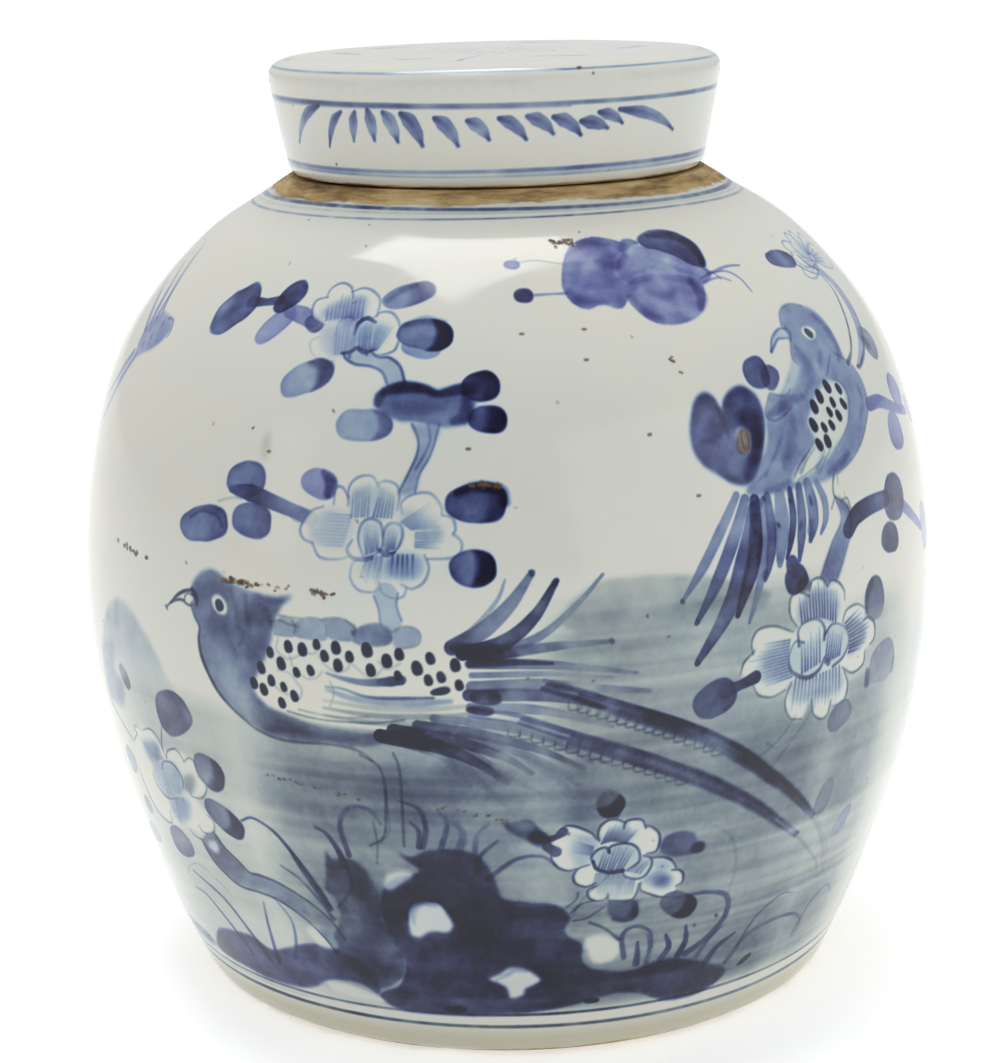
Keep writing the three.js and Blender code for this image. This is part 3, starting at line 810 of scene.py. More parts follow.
    line(c, [(-27.6, 99.6), (-25.1, 98.8), (-22.5, 98.4), (-19.4, 98.5), (-16.3, 98.7), (-12.6, 99.9)],
         0.55, 1.2, 'grey')
    line(c, [(-26.0, 100.4), (-21.0, 99.4), (-17.0, 100.2)], 0.45, 0.9, 'grey')

    line(c, [(-18.4, 90.0), (-16.2, 87.4), (-15.6, 82.0), (-15.8, 75.0), (-16.4, 68.0), (-18.4, 65.0)], 0.7,
         1.3, 'grey')
    line(c, [(-14.2, 91.0), (-13.6, 87.0), (-13.6, 78.0), (-13.9, 65.6)], 0.7, 1.3, 'grey')
    line(c, [(-15.6, 81.0), (-15.6, 70.0), (-17.0, 66.0)], 0.45, 0.8, 'grey')


def pheasant_tail(c):
    """The bird's upper feathers, its two long plumes with their scalloped edges, and the fan below."""
    for points, width, tone in (
            ([(-6.4, 119.0), (-3.6, 124.0), (-1.2, 130.0), (-0.3, 134.6)], 1.5, 0.6),
            ([(-6.6, 118.4), (-3.0, 122.6), (0.2, 128.6), (2.9, 136.2)], 4.2, 1.2),
            ([(-5.4, 117.0), (-0.6, 119.6), (3.0, 125.6), (5.7, 134.0)], 3.8, 2.3),
            ([(-2.0, 117.6), (3.4, 120.6), (8.0, 128.0), (11.2, 134.8)], 2.2, 0.9),
            ([(-4.4, 115.6), (1.0, 117.4), (7.0, 118.4), (12.2, 118.6)], 2.8, 1.2),
            ([(-4.6, 114.4), (3.0, 114.0), (9.0, 112.4), (15.0, 110.2)], 2.6, 1.0),
            ([(-4.4, 111.6), (3.0, 111.6), (7.0, 111.0), (12.0, 109.6)], 1.6, 0.8),
            ([(-4.4, 108.6), (3.0, 108.8), (9.0, 107.4), (16.6, 105.2)], 3.4, 0.9),
            ([(-4.8, 106.6), (2.0, 106.4), (7.0, 104.8), (11.0, 102.0)], 3.4, 1.4),
            ([(-4.6, 103.4), (2.0, 102.8), (7.0, 100.6), (12.0, 97.0)], 2.8, 0.9)):
        line(c, points, [0.9 * width, width, 0.75 * width, 0.35 * width],
             [1.5 * tone, 1.1 * tone, 0.9 * tone, 1.1 * tone], 'steel',
             rim=0.15, drag=0.35)
    oval(c, (-7.0, 118.4), (-3.6, 117.6), 3.4, 2.6, 'steel', rim=0)
    oval(c, (-5.0, 116.6), (1.0, 116.6), 3.6, 1.0, 'steel', rim=0, soft=0.9)
    line(c, [(-4.6, 114.4), (1.0, 114.6), (5.0, 114.0)], [1.8, 1.8, 0.8], 2.4, 'steel')
    oval(c, (-4.8, 106.2), (-1.0, 105.8), 3.8, 2.8, 'steel', rim=0)
    oval(c, (-5.2, 103.0), (-2.0, 102.4), 2.6, 2.4, 'steel', rim=0)
    for angle, height in ((2.8, 136.0), (5.5, 133.4), (12.0, 118.6)):
        dots(c, [(angle, height)], 1.2, 1.6, 'grey')

    upper = [(4.0, 108.4), (8.0, 105.6), (13.0, 101.2), (18.0, 96.8), (24.0, 91.0), (29.0, 84.6),
             (34.0, 77.0), (39.0, 69.0), (43.6, 60.6)]
    lower = [(-4.6, 101.6), (1.0, 99.6), (7.0, 94.8), (13.0, 90.0), (19.0, 84.6), (25.0, 78.4),
             (31.0, 71.0), (36.0, 63.8), (41.0, 56.6)]
    for plume, tone in ((upper, 1.5), (lower, 1.3)):
        for i in range(9):
            across = (i - 4) * 0.42
            strand = [(angle + 0.25 * across, height + across * min(1.0, 0.4 + 0.25 * k, 0.25 * (9 - k)))
                      for k, (angle, height) in enumerate(plume)]
            first, last = c.random.integers(0, 3), len(strand) - c.random.integers(0, 2)
            pressure = [tone * c.random.uniform(0.55, 1.35) for _ in range(5)]
            line(c, strand[first:last], [0.6, 0.9, 0.7, 0.9, 0.5], pressure, 'dusk', soft=0.45, drag=0.5)
        line(c, [(angle, height + 1.5 * min(1.0, 0.25 * (9 - k)))
                 for k, (angle, height) in enumerate(plume)], [1.0, 1.4, 1.3, 1.0, 1.0],
             [1.0, 1.2, 1.5, 1.2, 1.6], 'dusk', drag=0.5)
        bends = np.array(plume)
        for i in range(16):
            at = 0.9 + 0.23 * i
            angle, height = (np.interp(at, range(len(bends)), bends[:, k]) for k in (0, 1))
            bow = 1.9 - 0.05 * i
            line(c, [(angle - 0.8, height - 1.9), (angle - 0.7, height - 1.9 - bow),
                     (angle + 0.5, height - 1.9 - bow), (angle + 0.7, height - 2.3)],
                 [0.5, 0.6, 0.5], [0.9, 1.3, 0.8], 'grey')
    line(c, [(43.4, 60.4), (46.0, 54.6), (48.6, 47.0), (49.2, 43.0)], [1.2, 0.8, 0.5], 0.55, 'grey')
    line(c, [(40.6, 57.0), (44.0, 51.0), (47.4, 45.0), (48.6, 41.0)], [1.2, 0.9, 0.6], 0.5, 'grey')

    fanned = (
        ([(-15.6, 95.4), (-9.0, 93.4), (-4.0, 89.0), (-0.6, 83.6)], 3.6, 2.4),
        ([(-14.0, 97.2), (-7.0, 95.0), (-1.0, 90.6), (2.4, 86.0)], 3.2, 1.9),
        ([(-12.0, 96.6), (-6.0, 93.0), (-1.0, 86.0), (3.4, 80.6)], 2.4, 1.3),
        ([(-10.0, 95.0), (-6.0, 89.0), (-2.0, 80.0), (0.2, 74.4)], 2.0, 0.9),
        ([(-11.0, 98.6), (-4.0, 96.6), (3.0, 92.4), (8.6, 86.6)], 2.8, 1.6),
        ([(-9.0, 100.6), (-2.0, 99.0), (5.0, 94.0), (9.6, 88.0)], 2.2, 1.0),
        ([(-6.0, 96.0), (0.0, 92.4), (5.0, 87.0), (8.0, 82.0)], 2.6, 1.1),
        ([(-3.0, 94.4), (2.0, 89.6), (6.0, 83.0), (7.4, 79.0)], 2.2, 0.8),
        ([(-13.0, 94.0), (-9.0, 91.4), (-6.4, 87.0), (-5.0, 82.6)], 2.2, 1.0),
        ([(-5.0, 99.4), (2.0, 97.0), (8.0, 91.6), (12.0, 86.6)], 2.0, 1.0))
    for points, width, tone in fanned:
        line(c, points, [width, 1.1 * width, 0.8 * width, 0.4 * width],
             [1.3 * tone, tone, 0.9 * tone, 0.7 * tone], 'steel', rim=0.1, drag=0.45)
    oval(c, (-15.8, 95.8), (-12.6, 95.6), 2.4, 3.0, 'grey', rim=0)
    oval(c, (-14.0, 96.8), (-10.2, 97.0), 3.0, 2.9, 'grey', rim=0)
    oval(c, (-12.6, 94.6), (-8.4, 93.6), 2.4, 2.8, 'steel', rim=0)


def butterfly(c):
    """The violet butterfly high in the middle."""
    c.fill([(10.2, 201.1), (11.3, 205.4), (13.7, 208.6), (18.0, 209.8), (22.2, 208.8), (24.8, 206.9),
            (25.6, 203.2), (22.9, 198.9), (20.8, 197.0), (18.6, 194.4), (15.7, 195.5), (13.4, 194.7),
            (11.5, 195.9), (10.3, 198.3)], 1.15, 'plum', rim=0.35, soft=0.25, drag=0.35)
    middle = [(24.4, 207.4), (28.2, 206.9), (32.4, 205.0), (36.4, 202.0), (37.2, 199.4), (33.9, 197.4),
              (30.7, 198.6), (26.6, 200.0), (21.6, 199.2), (19.8, 202.5), (22.0, 206.0)]
    c.fill(middle, 1.0, erase=True, soft=0.5)
    c.fill(middle, 0.95, 'plum', soft=0.3, rim=0.3, drag=0.4)
    c.fill([(20.0, 197.1), (21.6, 199.9), (25.7, 201.1), (31.1, 200.2), (34.4, 198.2), (33.4, 194.3),
            (31.0, 191.2), (27.0, 189.9), (23.4, 190.7), (21.2, 193.4)], 1.0, 'plum', rim=0.4, soft=0.25,
            drag=0.35)
    c.fill([(27.0, 208.9), (31.1, 210.3), (35.5, 209.5), (38.0, 207.1), (38.2, 204.4), (37.0, 201.3),
            (34.4, 202.3), (32.4, 204.3), (29.7, 206.0), (27.3, 206.9)], 2.0, 'dusk', rim=0.4, soft=0.28,
            drag=0.25)
    line(c, [(29.4, 209.2), (33.6, 209.0), (36.8, 206.8), (37.4, 203.6), (36.8, 202.0)],
         [1.4, 2.6, 3.2, 2.8, 1.4], 1.2, 'blue', soft=0.6)
    line(c, [(22.6, 206.8), (24.4, 208.2), (26.0, 208.0)], [2.2, 3.0, 1.6], 1.3, 'dusk', soft=0.5)
    for points, width, tone, shade in (
            ([(12.0, 206.4), (16.0, 208.6), (20.6, 208.2)], 2.0, 0.35, 'dusk'),
            ([(11.0, 199.0), (13.0, 196.4), (16.6, 196.0)], 2.2, 0.4, 'dusk'),
            ([(17.0, 204.6), (20.0, 203.4), (22.6, 205.4)], 2.6, 0.5, 'plum'),
            ([(14.0, 199.6), (17.4, 199.4), (20.2, 200.6)], 2.2, 0.35, 'plum'),
            ([(21.0, 196.6), (22.0, 193.6), (24.6, 191.4)], 2.4, 0.6, 'violet'),
            ([(32.6, 198.6), (33.2, 195.4), (32.0, 192.8)], 3.2, 0.9, 'violet'),
            ([(24.0, 197.6), (26.6, 196.0), (29.4, 197.4)], 2.2, 0.35, 'blue'),
            ([(26.6, 204.6), (30.0, 202.6), (33.4, 200.4)], 1.8, 0.4, 'blue'),
            ([(23.0, 201.6), (26.4, 202.6), (29.6, 201.6)], 1.6, 0.35, 'dusk')):
        line(c, points, [0.6 * width, width, 0.6 * width], tone, shade, soft=0.8)
    for start, end in (
            ((25.6, 205.4), (28.4, 203.4)),
            ((29.6, 203.6), (32.6, 201.8)),
            ((14.4, 203.6), (17.6, 206.4)),
            ((24.6, 194.6), (28.4, 193.0))):
        c.fill([(start[0], start[1] + 0.7), (end[0], end[1] + 0.7), (end[0] + 0.4, end[1] - 0.7),
                (start[0], start[1] - 0.7)], 0.3, erase=True, soft=0.7)
    for points, width in (
            ([(34.7, 199.0), (38.8, 200.2), (41.9, 200.8), (44.8, 200.6)], 1.0),
            ([(36.7, 199.9), (40.8, 199.8), (42.9, 197.8), (43.6, 194.7)], 0.7),
            ([(35.0, 198.2), (38.6, 198.7), (40.5, 197.7)], 0.6),
            ([(36.4, 201.0), (38.0, 199.8), (38.8, 198.4)], 0.6)):
        line(c, points, [0.6, width, 0.5], 0.9, 'lilac')
    line(c, [(2.9, 205.2), (6.2, 205.6), (10.8, 204.6)], 0.55, 0.5, 'grey')
    line(c, [(4.9, 198.2), (7.6, 198.3), (10.5, 198.3)], [1.0, 0.7, 0.8], 0.8, 'dusk')
    oval(c, (0.8, 205.0), (3.4, 204.7), 2.7, 1.2, 'lilac')
    oval(c, (2.1, 198.1), (5.2, 198.3), 4.2, 2.6, 'violet', rim=0)


def parrot(c):
    """The bird perched on the right, its tail hanging behind the flower."""
    body = [(45.6, 186.1), (46.7, 188.7), (48.3, 190.0), (50.6, 190.3), (53.1, 189.3), (55.4, 187.5),
            (56.5, 185.0), (56.9, 182.2), (56.8, 179.3), (56.8, 175.4), (58.6, 172.1), (59.2, 167.8),
            (58.5, 163.4), (56.6, 159.6), (54.2, 155.8), (51.3, 152.6), (48.2, 150.5), (45.4, 149.2),
            (42.6, 149.0), (39.3, 149.0), (36.5, 148.6), (33.9, 148.8), (31.2, 149.6), (31.6, 152.3),
            (33.4, 155.7), (35.1, 159.1), (36.0, 162.7), (36.2, 166.0), (37.0, 169.1), (38.0, 171.6),
            (39.8, 171.0), (42.4, 174.7), (44.7, 178.6), (45.4, 181.3), (45.9, 183.7)]
    c.fill(body, 0.95, 'dusk', soft=0.4, drag=0.25, rim=0.2)
    c.fill([(40.1, 171.0), (42.3, 174.5), (44.4, 178.3), (45.7, 176.6), (43.6, 172.8), (41.2, 170.7)], 0.7,
           erase=True, soft=0.8)
    for points, width, tone in (
            ([(54.6, 186.8), (56.0, 182.8), (56.2, 178.0), (55.0, 175.6)], 2.6, 0.45),
            ([(51.4, 178.4), (50.2, 176.6), (49.6, 174.4)], 2.0, 0.45),
            ([(46.4, 181.0), (47.4, 177.0), (47.0, 173.4), (45.0, 170.4)], 3.2, 0.35),
            ([(36.9, 167.0), (38.2, 167.6), (41.0, 169.2), (44.0, 169.6)], 3.0, 0.5),
            ([(57.4, 168.3), (57.2, 164.4), (55.4, 161.0)], 2.0, 0.4),
            ([(50.4, 153.6), (47.6, 151.6), (45.4, 150.6)], 2.6, 0.6),
            ([(41.0, 165.6), (40.0, 160.4), (37.6, 154.6)], 3.4, 0.3),
            ([(34.4, 153.4), (36.4, 157.6), (38.2, 161.6)], 0.7, 0.6),
            ([(32.0, 151.0), (33.6, 153.0), (34.8, 154.2)], 0.7, 0.6),
            ([(38.6, 151.0), (36.2, 149.8), (34.0, 149.6)], 2.0, 0.5)):
        line(c, points, [0.5 * width, width, 0.5 * width], tone, 'dusk', soft=0.7)
    for points, tone in (
            ([(45.6, 186.1), (46.7, 188.7), (48.3, 190.0), (50.6, 190.3), (53.1, 189.3)], 0.9),
            ([(38.0, 171.7), (36.5, 168.2), (36.6, 166.3), (37.8, 165.5), (39.4, 166.2), (41.3, 167.7)],
             0.9),
            ([(38.3, 171.8), (39.7, 170.9), (41.0, 170.8), (42.0, 171.8)], 0.9),
            ([(46.0, 182.7), (45.1, 180.5), (44.7, 178.6), (45.2, 177.0)], 0.8),
            ([(53.4, 177.3), (51.8, 174.9), (50.6, 173.1)], 1.0),
            ([(54.6, 177.4), (56.2, 175.9), (58.0, 173.6), (59.2, 168.6), (58.6, 163.4), (56.6, 159.4),
              (54.2, 155.6), (51.2, 152.4), (47.4, 149.9)], 0.9)):
        line(c, points, [0.5, 0.65, 0.5], tone, 'grey')
    beak = [(46.3, 185.4), (44.9, 185.7), (43.4, 184.9), (42.0, 183.3), (41.1, 181.1), (42.1, 182.5),
            (43.4, 183.5), (44.5, 183.4), (45.8, 183.2)]
    c.fill(beak, 0.35, 'dusk', soft=0.3)
    line(c, [(46.3, 185.2), (44.9, 185.6), (43.4, 184.8), (42.1, 183.4), (41.1, 181.0)], [0.6, 0.8, 0.7],
         1.0, 'dusk')
    line(c, [(45.9, 183.2), (44.5, 183.4), (43.4, 183.4), (42.1, 182.1), (41.1, 181.0)], [0.5, 0.7, 1.0],
         1.1, 'dusk')
    line(c, [(46.4, 185.8), (46.6, 184.2), (46.0, 182.6)], [0.6, 1.2, 0.8], 0.9, 'dusk')
    c.fill([(49.0, 184.0), (49.8, 185.6), (51.6, 185.6), (53.1, 183.7), (52.3, 181.4), (50.6, 180.9),
            (49.3, 182.1)], 0.7, 'dusk', soft=0.35)
    c.fill([(49.8, 184.7), (51.5, 184.8), (52.7, 183.5), (52.0, 182.0), (50.6, 181.6), (49.6, 182.5),
            (49.3, 183.8)], 0.97, erase=True, soft=0.28)
    oval(c, (50.3, 184.2), (51.4, 182.2), 2.2, 2.8, 'grey', rim=0)

    wing = [(49.4, 171.6), (51.1, 171.6), (52.7, 170.7), (53.4, 169.0), (53.6, 167.0), (52.9, 164.2),
            (52.0, 161.0), (50.3, 158.5), (48.0, 156.3), (46.3, 154.4), (44.4, 153.0), (41.8, 151.4),
            (40.0, 150.5), (38.3, 150.5), (39.3, 153.1), (41.0, 155.0), (42.7, 157.0), (44.1, 159.0),
            (43.6, 161.6), (43.6, 163.9), (44.9, 166.5), (46.2, 168.6), (47.6, 170.3)]
    c.fill(wing, 0.93, erase=True, soft=0.4)
    for points in (
            [(51.6, 171.8), (53.2, 170.4), (54.0, 167.4), (53.3, 164.2), (52.0, 160.8), (50.0, 158.0),
             (47.8, 155.7)],
            [(45.1, 154.6), (43.6, 153.1), (41.5, 151.8), (39.5, 150.6)],
            [(44.3, 159.2), (42.2, 156.5), (40.2, 153.9), (38.9, 151.3)],
            [(42.7, 157.0), (40.6, 154.7), (39.0, 151.8)],
            [(43.7, 157.2), (41.8, 154.9), (40.3, 152.2)],
            [(47.0, 156.4), (45.2, 153.9), (43.6, 151.0)]):
        line(c, points, [0.5, 0.6, 0.5], 0.75, 'grey')
    for start, end in (((45.4, 155.9), (43.4, 152.4)), ((41.6, 155.4), (40.2, 152.6))):
        line(c, [start, end], [1.0, 1.6], 0.45, 'dusk', soft=0.7)
    for places, width in (
            ([(49.7, 170.5), (47.35, 168.7), (45.6, 166.7), (44.5, 162.6), (44.7, 157.7), (46.5, 158.0)],
             2.4),
            ([(52.2, 169.3), (49.8, 166.6), (52.2, 165.5), (48.5, 164.6), (50.3, 163.2), (46.5, 161.4),
              (48.2, 161.5)], 1.9)):
        dots(c, places, width, 3.4, 'grey', lean=0.7)
    line(c, [(46.3, 149.7), (45.7, 147.2), (45.7, 144.7), (47.0, 142.9), (48.0, 141.0), (48.2, 138.9)],
         0.65, 1.4, 'grey')
    line(c, [(47.0, 150.4), (46.8, 147.4)], 0.5, 0.7, 'grey')
    for toe in ([(47.0, 143.1), (48.2, 143.2), (48.7, 139.6)], [(45.8, 144.6), (44.8, 142.0)]):
        line(c, toe, 0.55, 1.2, 'grey')

    tail = (
        ([(29.4, 149.8), (26.6, 142.0), (23.6, 133.4), (20.8, 126.2)], 2.8, 0.95),
        ([(30.6, 148.6), (28.4, 140.0), (25.6, 130.0), (22.6, 120.6)], 3.6, 1.3),
        ([(31.6, 146.0), (29.8, 136.0), (27.0, 123.0), (22.6, 110.6)], 4.6, 1.7),
        ([(32.0, 148.0), (31.6, 140.0), (30.8, 133.0), (28.2, 121.0)], 4.2, 2.2),
        ([(33.2, 147.6), (32.6, 138.0), (31.6, 128.0), (29.8, 118.6)], 2.6, 0.9),
        ([(34.0, 148.4), (34.0, 139.0), (33.2, 132.0), (32.4, 128.4)], 3.0, 1.4),
        ([(36.0, 148.0), (35.8, 141.0), (35.2, 135.0), (34.8, 131.4)], 4.6, 0.85),
        ([(37.8, 149.0), (37.7, 142.0), (36.8, 136.0), (36.0, 132.6)], 2.2, 1.9),
        ([(39.4, 149.2), (39.2, 142.0), (38.6, 136.0), (38.0, 131.4)], 3.0, 1.4),
        ([(41.0, 149.6), (41.3, 144.0), (41.0, 139.0), (40.2, 135.6)], 3.8, 1.3),
        ([(42.6, 149.4), (43.6, 144.6), (43.4, 140.0), (42.2, 136.6)], 2.4, 0.95))
    for points, width, tone in tail:
        line(c, points, [0.7 * width, width, 0.95 * width, 0.35 * width],
             [1.0 * tone, tone, tone, 1.3 * tone], 'dusk', rim=0.25, drag=0.3)
    for start, end, width, tone in (
            ((31.6, 147.6), (31.8, 138.6), 2.6, 1.6),
            ((31.4, 146.8), (33.2, 147.0), 2.4, 1.3),
            ((41.0, 146.4), (41.2, 143.8), 1.0, 2.0),
            ((40.8, 140.6), (40.2, 136.4), 2.4, 1.0),
            ((39.0, 140.8), (38.6, 138.8), 1.2, 1.6),
            ((32.6, 131.0), (32.3, 128.4), 2.0, 1.4),
            ((34.9, 133.6), (34.7, 131.8), 2.0, 1.0)):
        oval(c, start, end, width, tone, 'blue', rim=0)
    dots(c, [(20.9, 126.4), (22.8, 121.0), (22.7, 111.0), (28.4, 122.4), (35.2, 141.0), (31.6, 134.6),
             (33.4, 148.0), (37.6, 146.2)],
         1.1, 1.8, 'grey')


def right_branch(c):
    """Dark flower, twigs and blossom on the right."""
    heart = [(24.4, 166.2), (25.0, 169.5), (25.9, 172.6), (27.5, 174.2), (28.7, 172.8), (29.2, 170.6),
             (29.5, 168.9), (30.2, 171.8), (31.7, 173.9), (33.6, 174.4), (35.4, 172.3), (35.9, 169.3),
             (35.8, 165.6), (34.9, 161.1), (33.8, 156.6), (32.5, 153.1), (31.0, 152.1), (29.1, 153.0),
             (27.4, 155.3), (25.5, 157.9), (24.4, 161.6)]
    c.fill(heart, 2.1, 'dusk', rim=0.3, drag=0.3)
    c.fill([(31.9, 168.2), (34.0, 169.4), (35.4, 166.2), (34.6, 160.5), (33.2, 155.6), (31.1, 153.5),
            (32.3, 158.6), (33.0, 163.2), (31.7, 165.1)], 1.6, 'blue', soft=0.7)
    line(c, [(25.6, 163.6), (27.4, 163.4), (29.0, 165.0)], [1.0, 2.0, 1.0], 0.7, 'blue', soft=0.7)
    line(c, [(29.2, 170.0), (29.4, 166.8), (29.8, 163.6)], [1.2, 1.6, 0.8], 0.7, 'ash', soft=0.6)
    c.fill([(28.8, 157.6), (31.0, 158.4), (31.4, 156.4), (30.4, 154.2), (28.8, 154.8)], 0.35, erase=True,
           soft=0.9)
    c.fill([(31.0, 164.2), (32.0, 165.4), (33.0, 163.6), (32.6, 159.8), (31.4, 159.0), (30.9, 161.0)], 0.85,
           erase=True, soft=0.4)
    oval(c, (32.3, 164.7), (31.4, 159.2), 3.9, 0.9, 'iron')
    line(c, [(31.8, 164.4), (31.6, 162.0), (31.8, 160.0)], 0.5, 1.6, 'grey')
    line(c, [(32.7, 164.0), (32.6, 161.6)], 0.5, 1.4, 'grey')
    oval(c, (34.7, 176.6), (39.2, 177.4), 8.2, [1.7, 1.6, 1.9], 'dusk')
    oval(c, (38.0, 177.6), (40.2, 173.6), 6.8, 1.4, 'violet', rim=0.2)

    oval(c, (53.2, 200.6), (61.4, 199.4), 6.0, [2.0, 1.2, 2.2], 'dusk', rim=0.5)
    for turn in (-100, -60, -20, 20, 60, 100):
        reach = math.radians(turn)
        petal(c, (69.5, 198.0), (69.5 + 8.5 * math.sin(reach), 198.0 + 5.5 * math.cos(reach)), 5.4, 0.3, 4,
              'lilac', 0.8)
    line(c, [(61.0, 197.6), (63.4, 195.6), (66.0, 194.4)], 0.6, 1.0, 'grey')
    line(c, [(64.0, 199.6), (65.0, 197.2), (67.0, 195.4)], [0.5, 1.0, 0.9], 1.2, 'grey')
    line(c, [(67.4, 195.4), (69.2, 191.4), (68.8, 186.0), (66.6, 180.4), (63.2, 175.4), (60.0, 172.6)],
         [3.6, 4.2, 4.0, 3.6, 3.2, 2.0], 0.62, 'lilac')
    line(c, [(66.2, 194.6), (66.8, 190.6), (64.9, 185.8), (62.3, 180.6), (59.8, 176.6), (57.2, 174.2)],
         [0.6, 0.9, 0.8, 1.0, 0.8, 1.6],
         [1.0, 1.2, 1.6, 1.8, 1.6, 2.4], 'grey')
    line(c, [(70.0, 192.0), (69.8, 186.0), (66.6, 178.4), (61.4, 173.2), (59.6, 172.6)],
         [0.5, 0.6, 0.7, 1.0], [0.6, 0.9, 1.3, 2.0], 'grey')
    oval(c, (65.2, 179.6), (69.8, 173.6), 9.0, [0.85, 1.0], 'ash', rim=0.2)
    oval(c, (65.4, 178.6), (67.4, 175.4), 3.0, 0.7, 'violet', rim=0, soft=0.8)

    line(c, [(59.0, 163.3), (62.7, 162.8), (67.9, 159.4), (73.1, 156.8)], [3.8, 3.6, 3.0, 2.6],
         [1.3, 1.1, 1.0, 1.0], 'lilac')
    oval(c, (68.8, 167.0), (72.6, 158.6), 9.6, 0.85, 'lilac')
    oval(c, (66.0, 158.9), (65.4, 149.3), 10.6, [0.8, 1.2], 'lilac')
    oval(c, (75.0, 160.0), (77.0, 152.6), 6.0, 0.45, 'lilac')

    line(c, [(47.6, 135.6), (49.6, 138.4), (53.2, 139.6), (57.6, 139.6)], [4.6, 5.0, 4.8, 4.4],
         [2.7, 2.4, 2.3, 2.2], 'dusk', rim=0.2)
    oval(c, (60.1, 144.9), (60.4, 132.7), 12.6, [1.9, 2.0, 1.6], 'ash', rim=0.3)
    oval(c, (58.0, 133.4), (57.3, 125.4), 11.0, [1.7, 2.2], 'ash', rim=0.3)
    line(c, [(62.0, 136.6), (65.2, 132.6), (69.8, 126.8)], [3.6, 3.2, 2.4], 0.9, 'lilac')
    oval(c, (71.4, 132.6), (72.8, 119.6), 8.0, 0.55, 'lilac')
    oval(c, (79.6, 130.0), (81.0, 117.0), 8.0, 0.3, 'lilac')
    left = [(45.9, 144.1), (46.4, 138.5), (43.9, 133.1), (41.3, 125.2)]
    right = [(48.1, 141.6), (48.3, 136.5), (46.7, 130.7), (44.1, 123.4)]
    c.fill(left + right[::-1], 1.25, 'dusk', soft=0.5)
    line(c, left, 0.7, 1.0, 'grey')
    line(c, right, 0.6, 0.8, 'grey')

    blossom(c, ([(35.3, 99.2), (33.3, 98.2), (31.2, 99.6), (30.2, 103.1)],
                [(28.5, 105.9), (29.0, 108.8), (30.5, 111.2)],
                [(30.3, 110.4), (30.1, 113.6), (31.1, 116.4), (33.5, 116.5), (36.4, 114.0)],
                [(37.1, 114.9), (36.0, 118.4), (36.2, 122.6), (37.7, 123.5), (39.2, 122.0)],
                [(39.4, 123.4), (40.0, 125.7), (41.6, 125.6), (42.5, 123.2)],
                [(42.7, 123.2), (43.4, 124.4), (44.7, 123.3), (45.7, 120.9), (45.8, 118.4)],
                [(45.3, 112.8), (46.1, 115.5), (48.3, 116.1), (50.1, 114.3)],
                [(49.8, 111.4), (51.2, 111.4), (52.4, 109.0), (52.5, 105.4), (51.5, 104.0)],
                [(50.3, 102.9), (50.0, 99.4), (47.7, 98.2), (45.5, 100.7)],
                [(45.9, 99.8), (46.9, 95.4), (46.3, 91.4), (44.3, 90.9)],
                [(43.7, 92.8), (43.2, 89.2), (42.0, 88.5), (40.5, 90.6), (40.0, 94.6)],
                [(38.4, 90.2), (36.4, 91.4), (35.4, 96.0), (36.3, 100.8)]), 1.5, 'grey')
    brushed(c, (([(37.6, 114.8), (37.4, 119.8), (40.0, 123.2), (43.4, 121.8), (44.8, 118.6), (44.0, 113.4),
                  (40.6, 115.6)], 0.5, 'steel'),
                ([(36.0, 111.6), (32.2, 111.2), (31.4, 107.0), (32.0, 102.4), (36.2, 102.6), (35.8, 107.4)],
                 0.36, 'steel'),
                ([(45.8, 112.0), (48.0, 112.8), (50.0, 109.4), (49.8, 105.2), (46.6, 103.6), (46.8, 108.0)],
                 0.75, 'ash'),
                ([(36.8, 101.4), (36.9, 95.6), (45.2, 94.6), (45.0, 100.8), (40.6, 101.2)], 0.42, 'steel')),
            (([(37.7, 115.4), (40.8, 116.0), (44.2, 113.4)], [(37.4, 121.6), (40.8, 124.0), (44.6, 121.8)],
              13, 1.25, 0.65),
             ([(35.9, 112.2), (35.7, 107.6), (36.4, 102.0)], [(32.2, 112.8), (30.2, 106.8), (32.6, 101.2)],
              13, 1.0, 0.55),
             ([(45.7, 112.6), (46.8, 108.0), (46.6, 103.6)], [(48.3, 115.0), (50.8, 108.6), (49.2, 103.4)],
              10, 1.4, 0.65),
             ([(36.8, 101.6), (40.8, 100.9), (45.2, 101.4)], [(36.4, 93.8), (41.2, 92.8), (45.6, 92.4)], 14,
              1.0, 0.6)))
    for heart, tone in (
            ([(37.3, 110.4), (37.2, 113.8), (38.5, 115.7), (40.8, 115.4), (42.0, 112.6), (41.6, 108.6)],
             0.12),
            ([(36.6, 111.0), (35.8, 107.7), (36.4, 103.7), (38.9, 101.2), (41.2, 102.2), (42.0, 106.0),
              (41.6, 110.4), (39.0, 110.6)], 0.3),
            ([(41.8, 111.0), (43.4, 113.2), (45.7, 111.4), (46.6, 107.2), (45.5, 103.3), (43.4, 101.7),
              (41.7, 103.0), (41.5, 107.0)], 0.3)):
        c.fill(heart, 0.9, erase=True, soft=0.35)
        c.fill(heart, tone, 'steel', soft=0.4)
    line(c, [(41.9, 111.0), (43.4, 113.1), (45.7, 111.3), (46.6, 107.2), (45.5, 103.5), (43.6, 101.9)],
         [0.8, 0.6, 0.7, 1.0], [1.5, 1.0, 1.2, 1.8], 'steel')
    line(c, [(37.4, 110.0), (37.3, 113.8), (38.5, 115.6), (40.6, 115.5), (41.8, 113.0), (41.8, 109.8)],
         [1.0, 0.7, 0.9, 1.0], [1.8, 1.0, 1.0, 1.5], 'steel')
    line(c, [(38.2, 110.4), (36.8, 111.2), (35.8, 107.6), (36.4, 103.6), (38.9, 101.0), (41.0, 102.2),
             (41.9, 105.0)],
         [0.7, 0.6, 1.0, 1.3, 0.8], [1.6, 0.9, 1.4, 2.0, 1.4], 'steel')
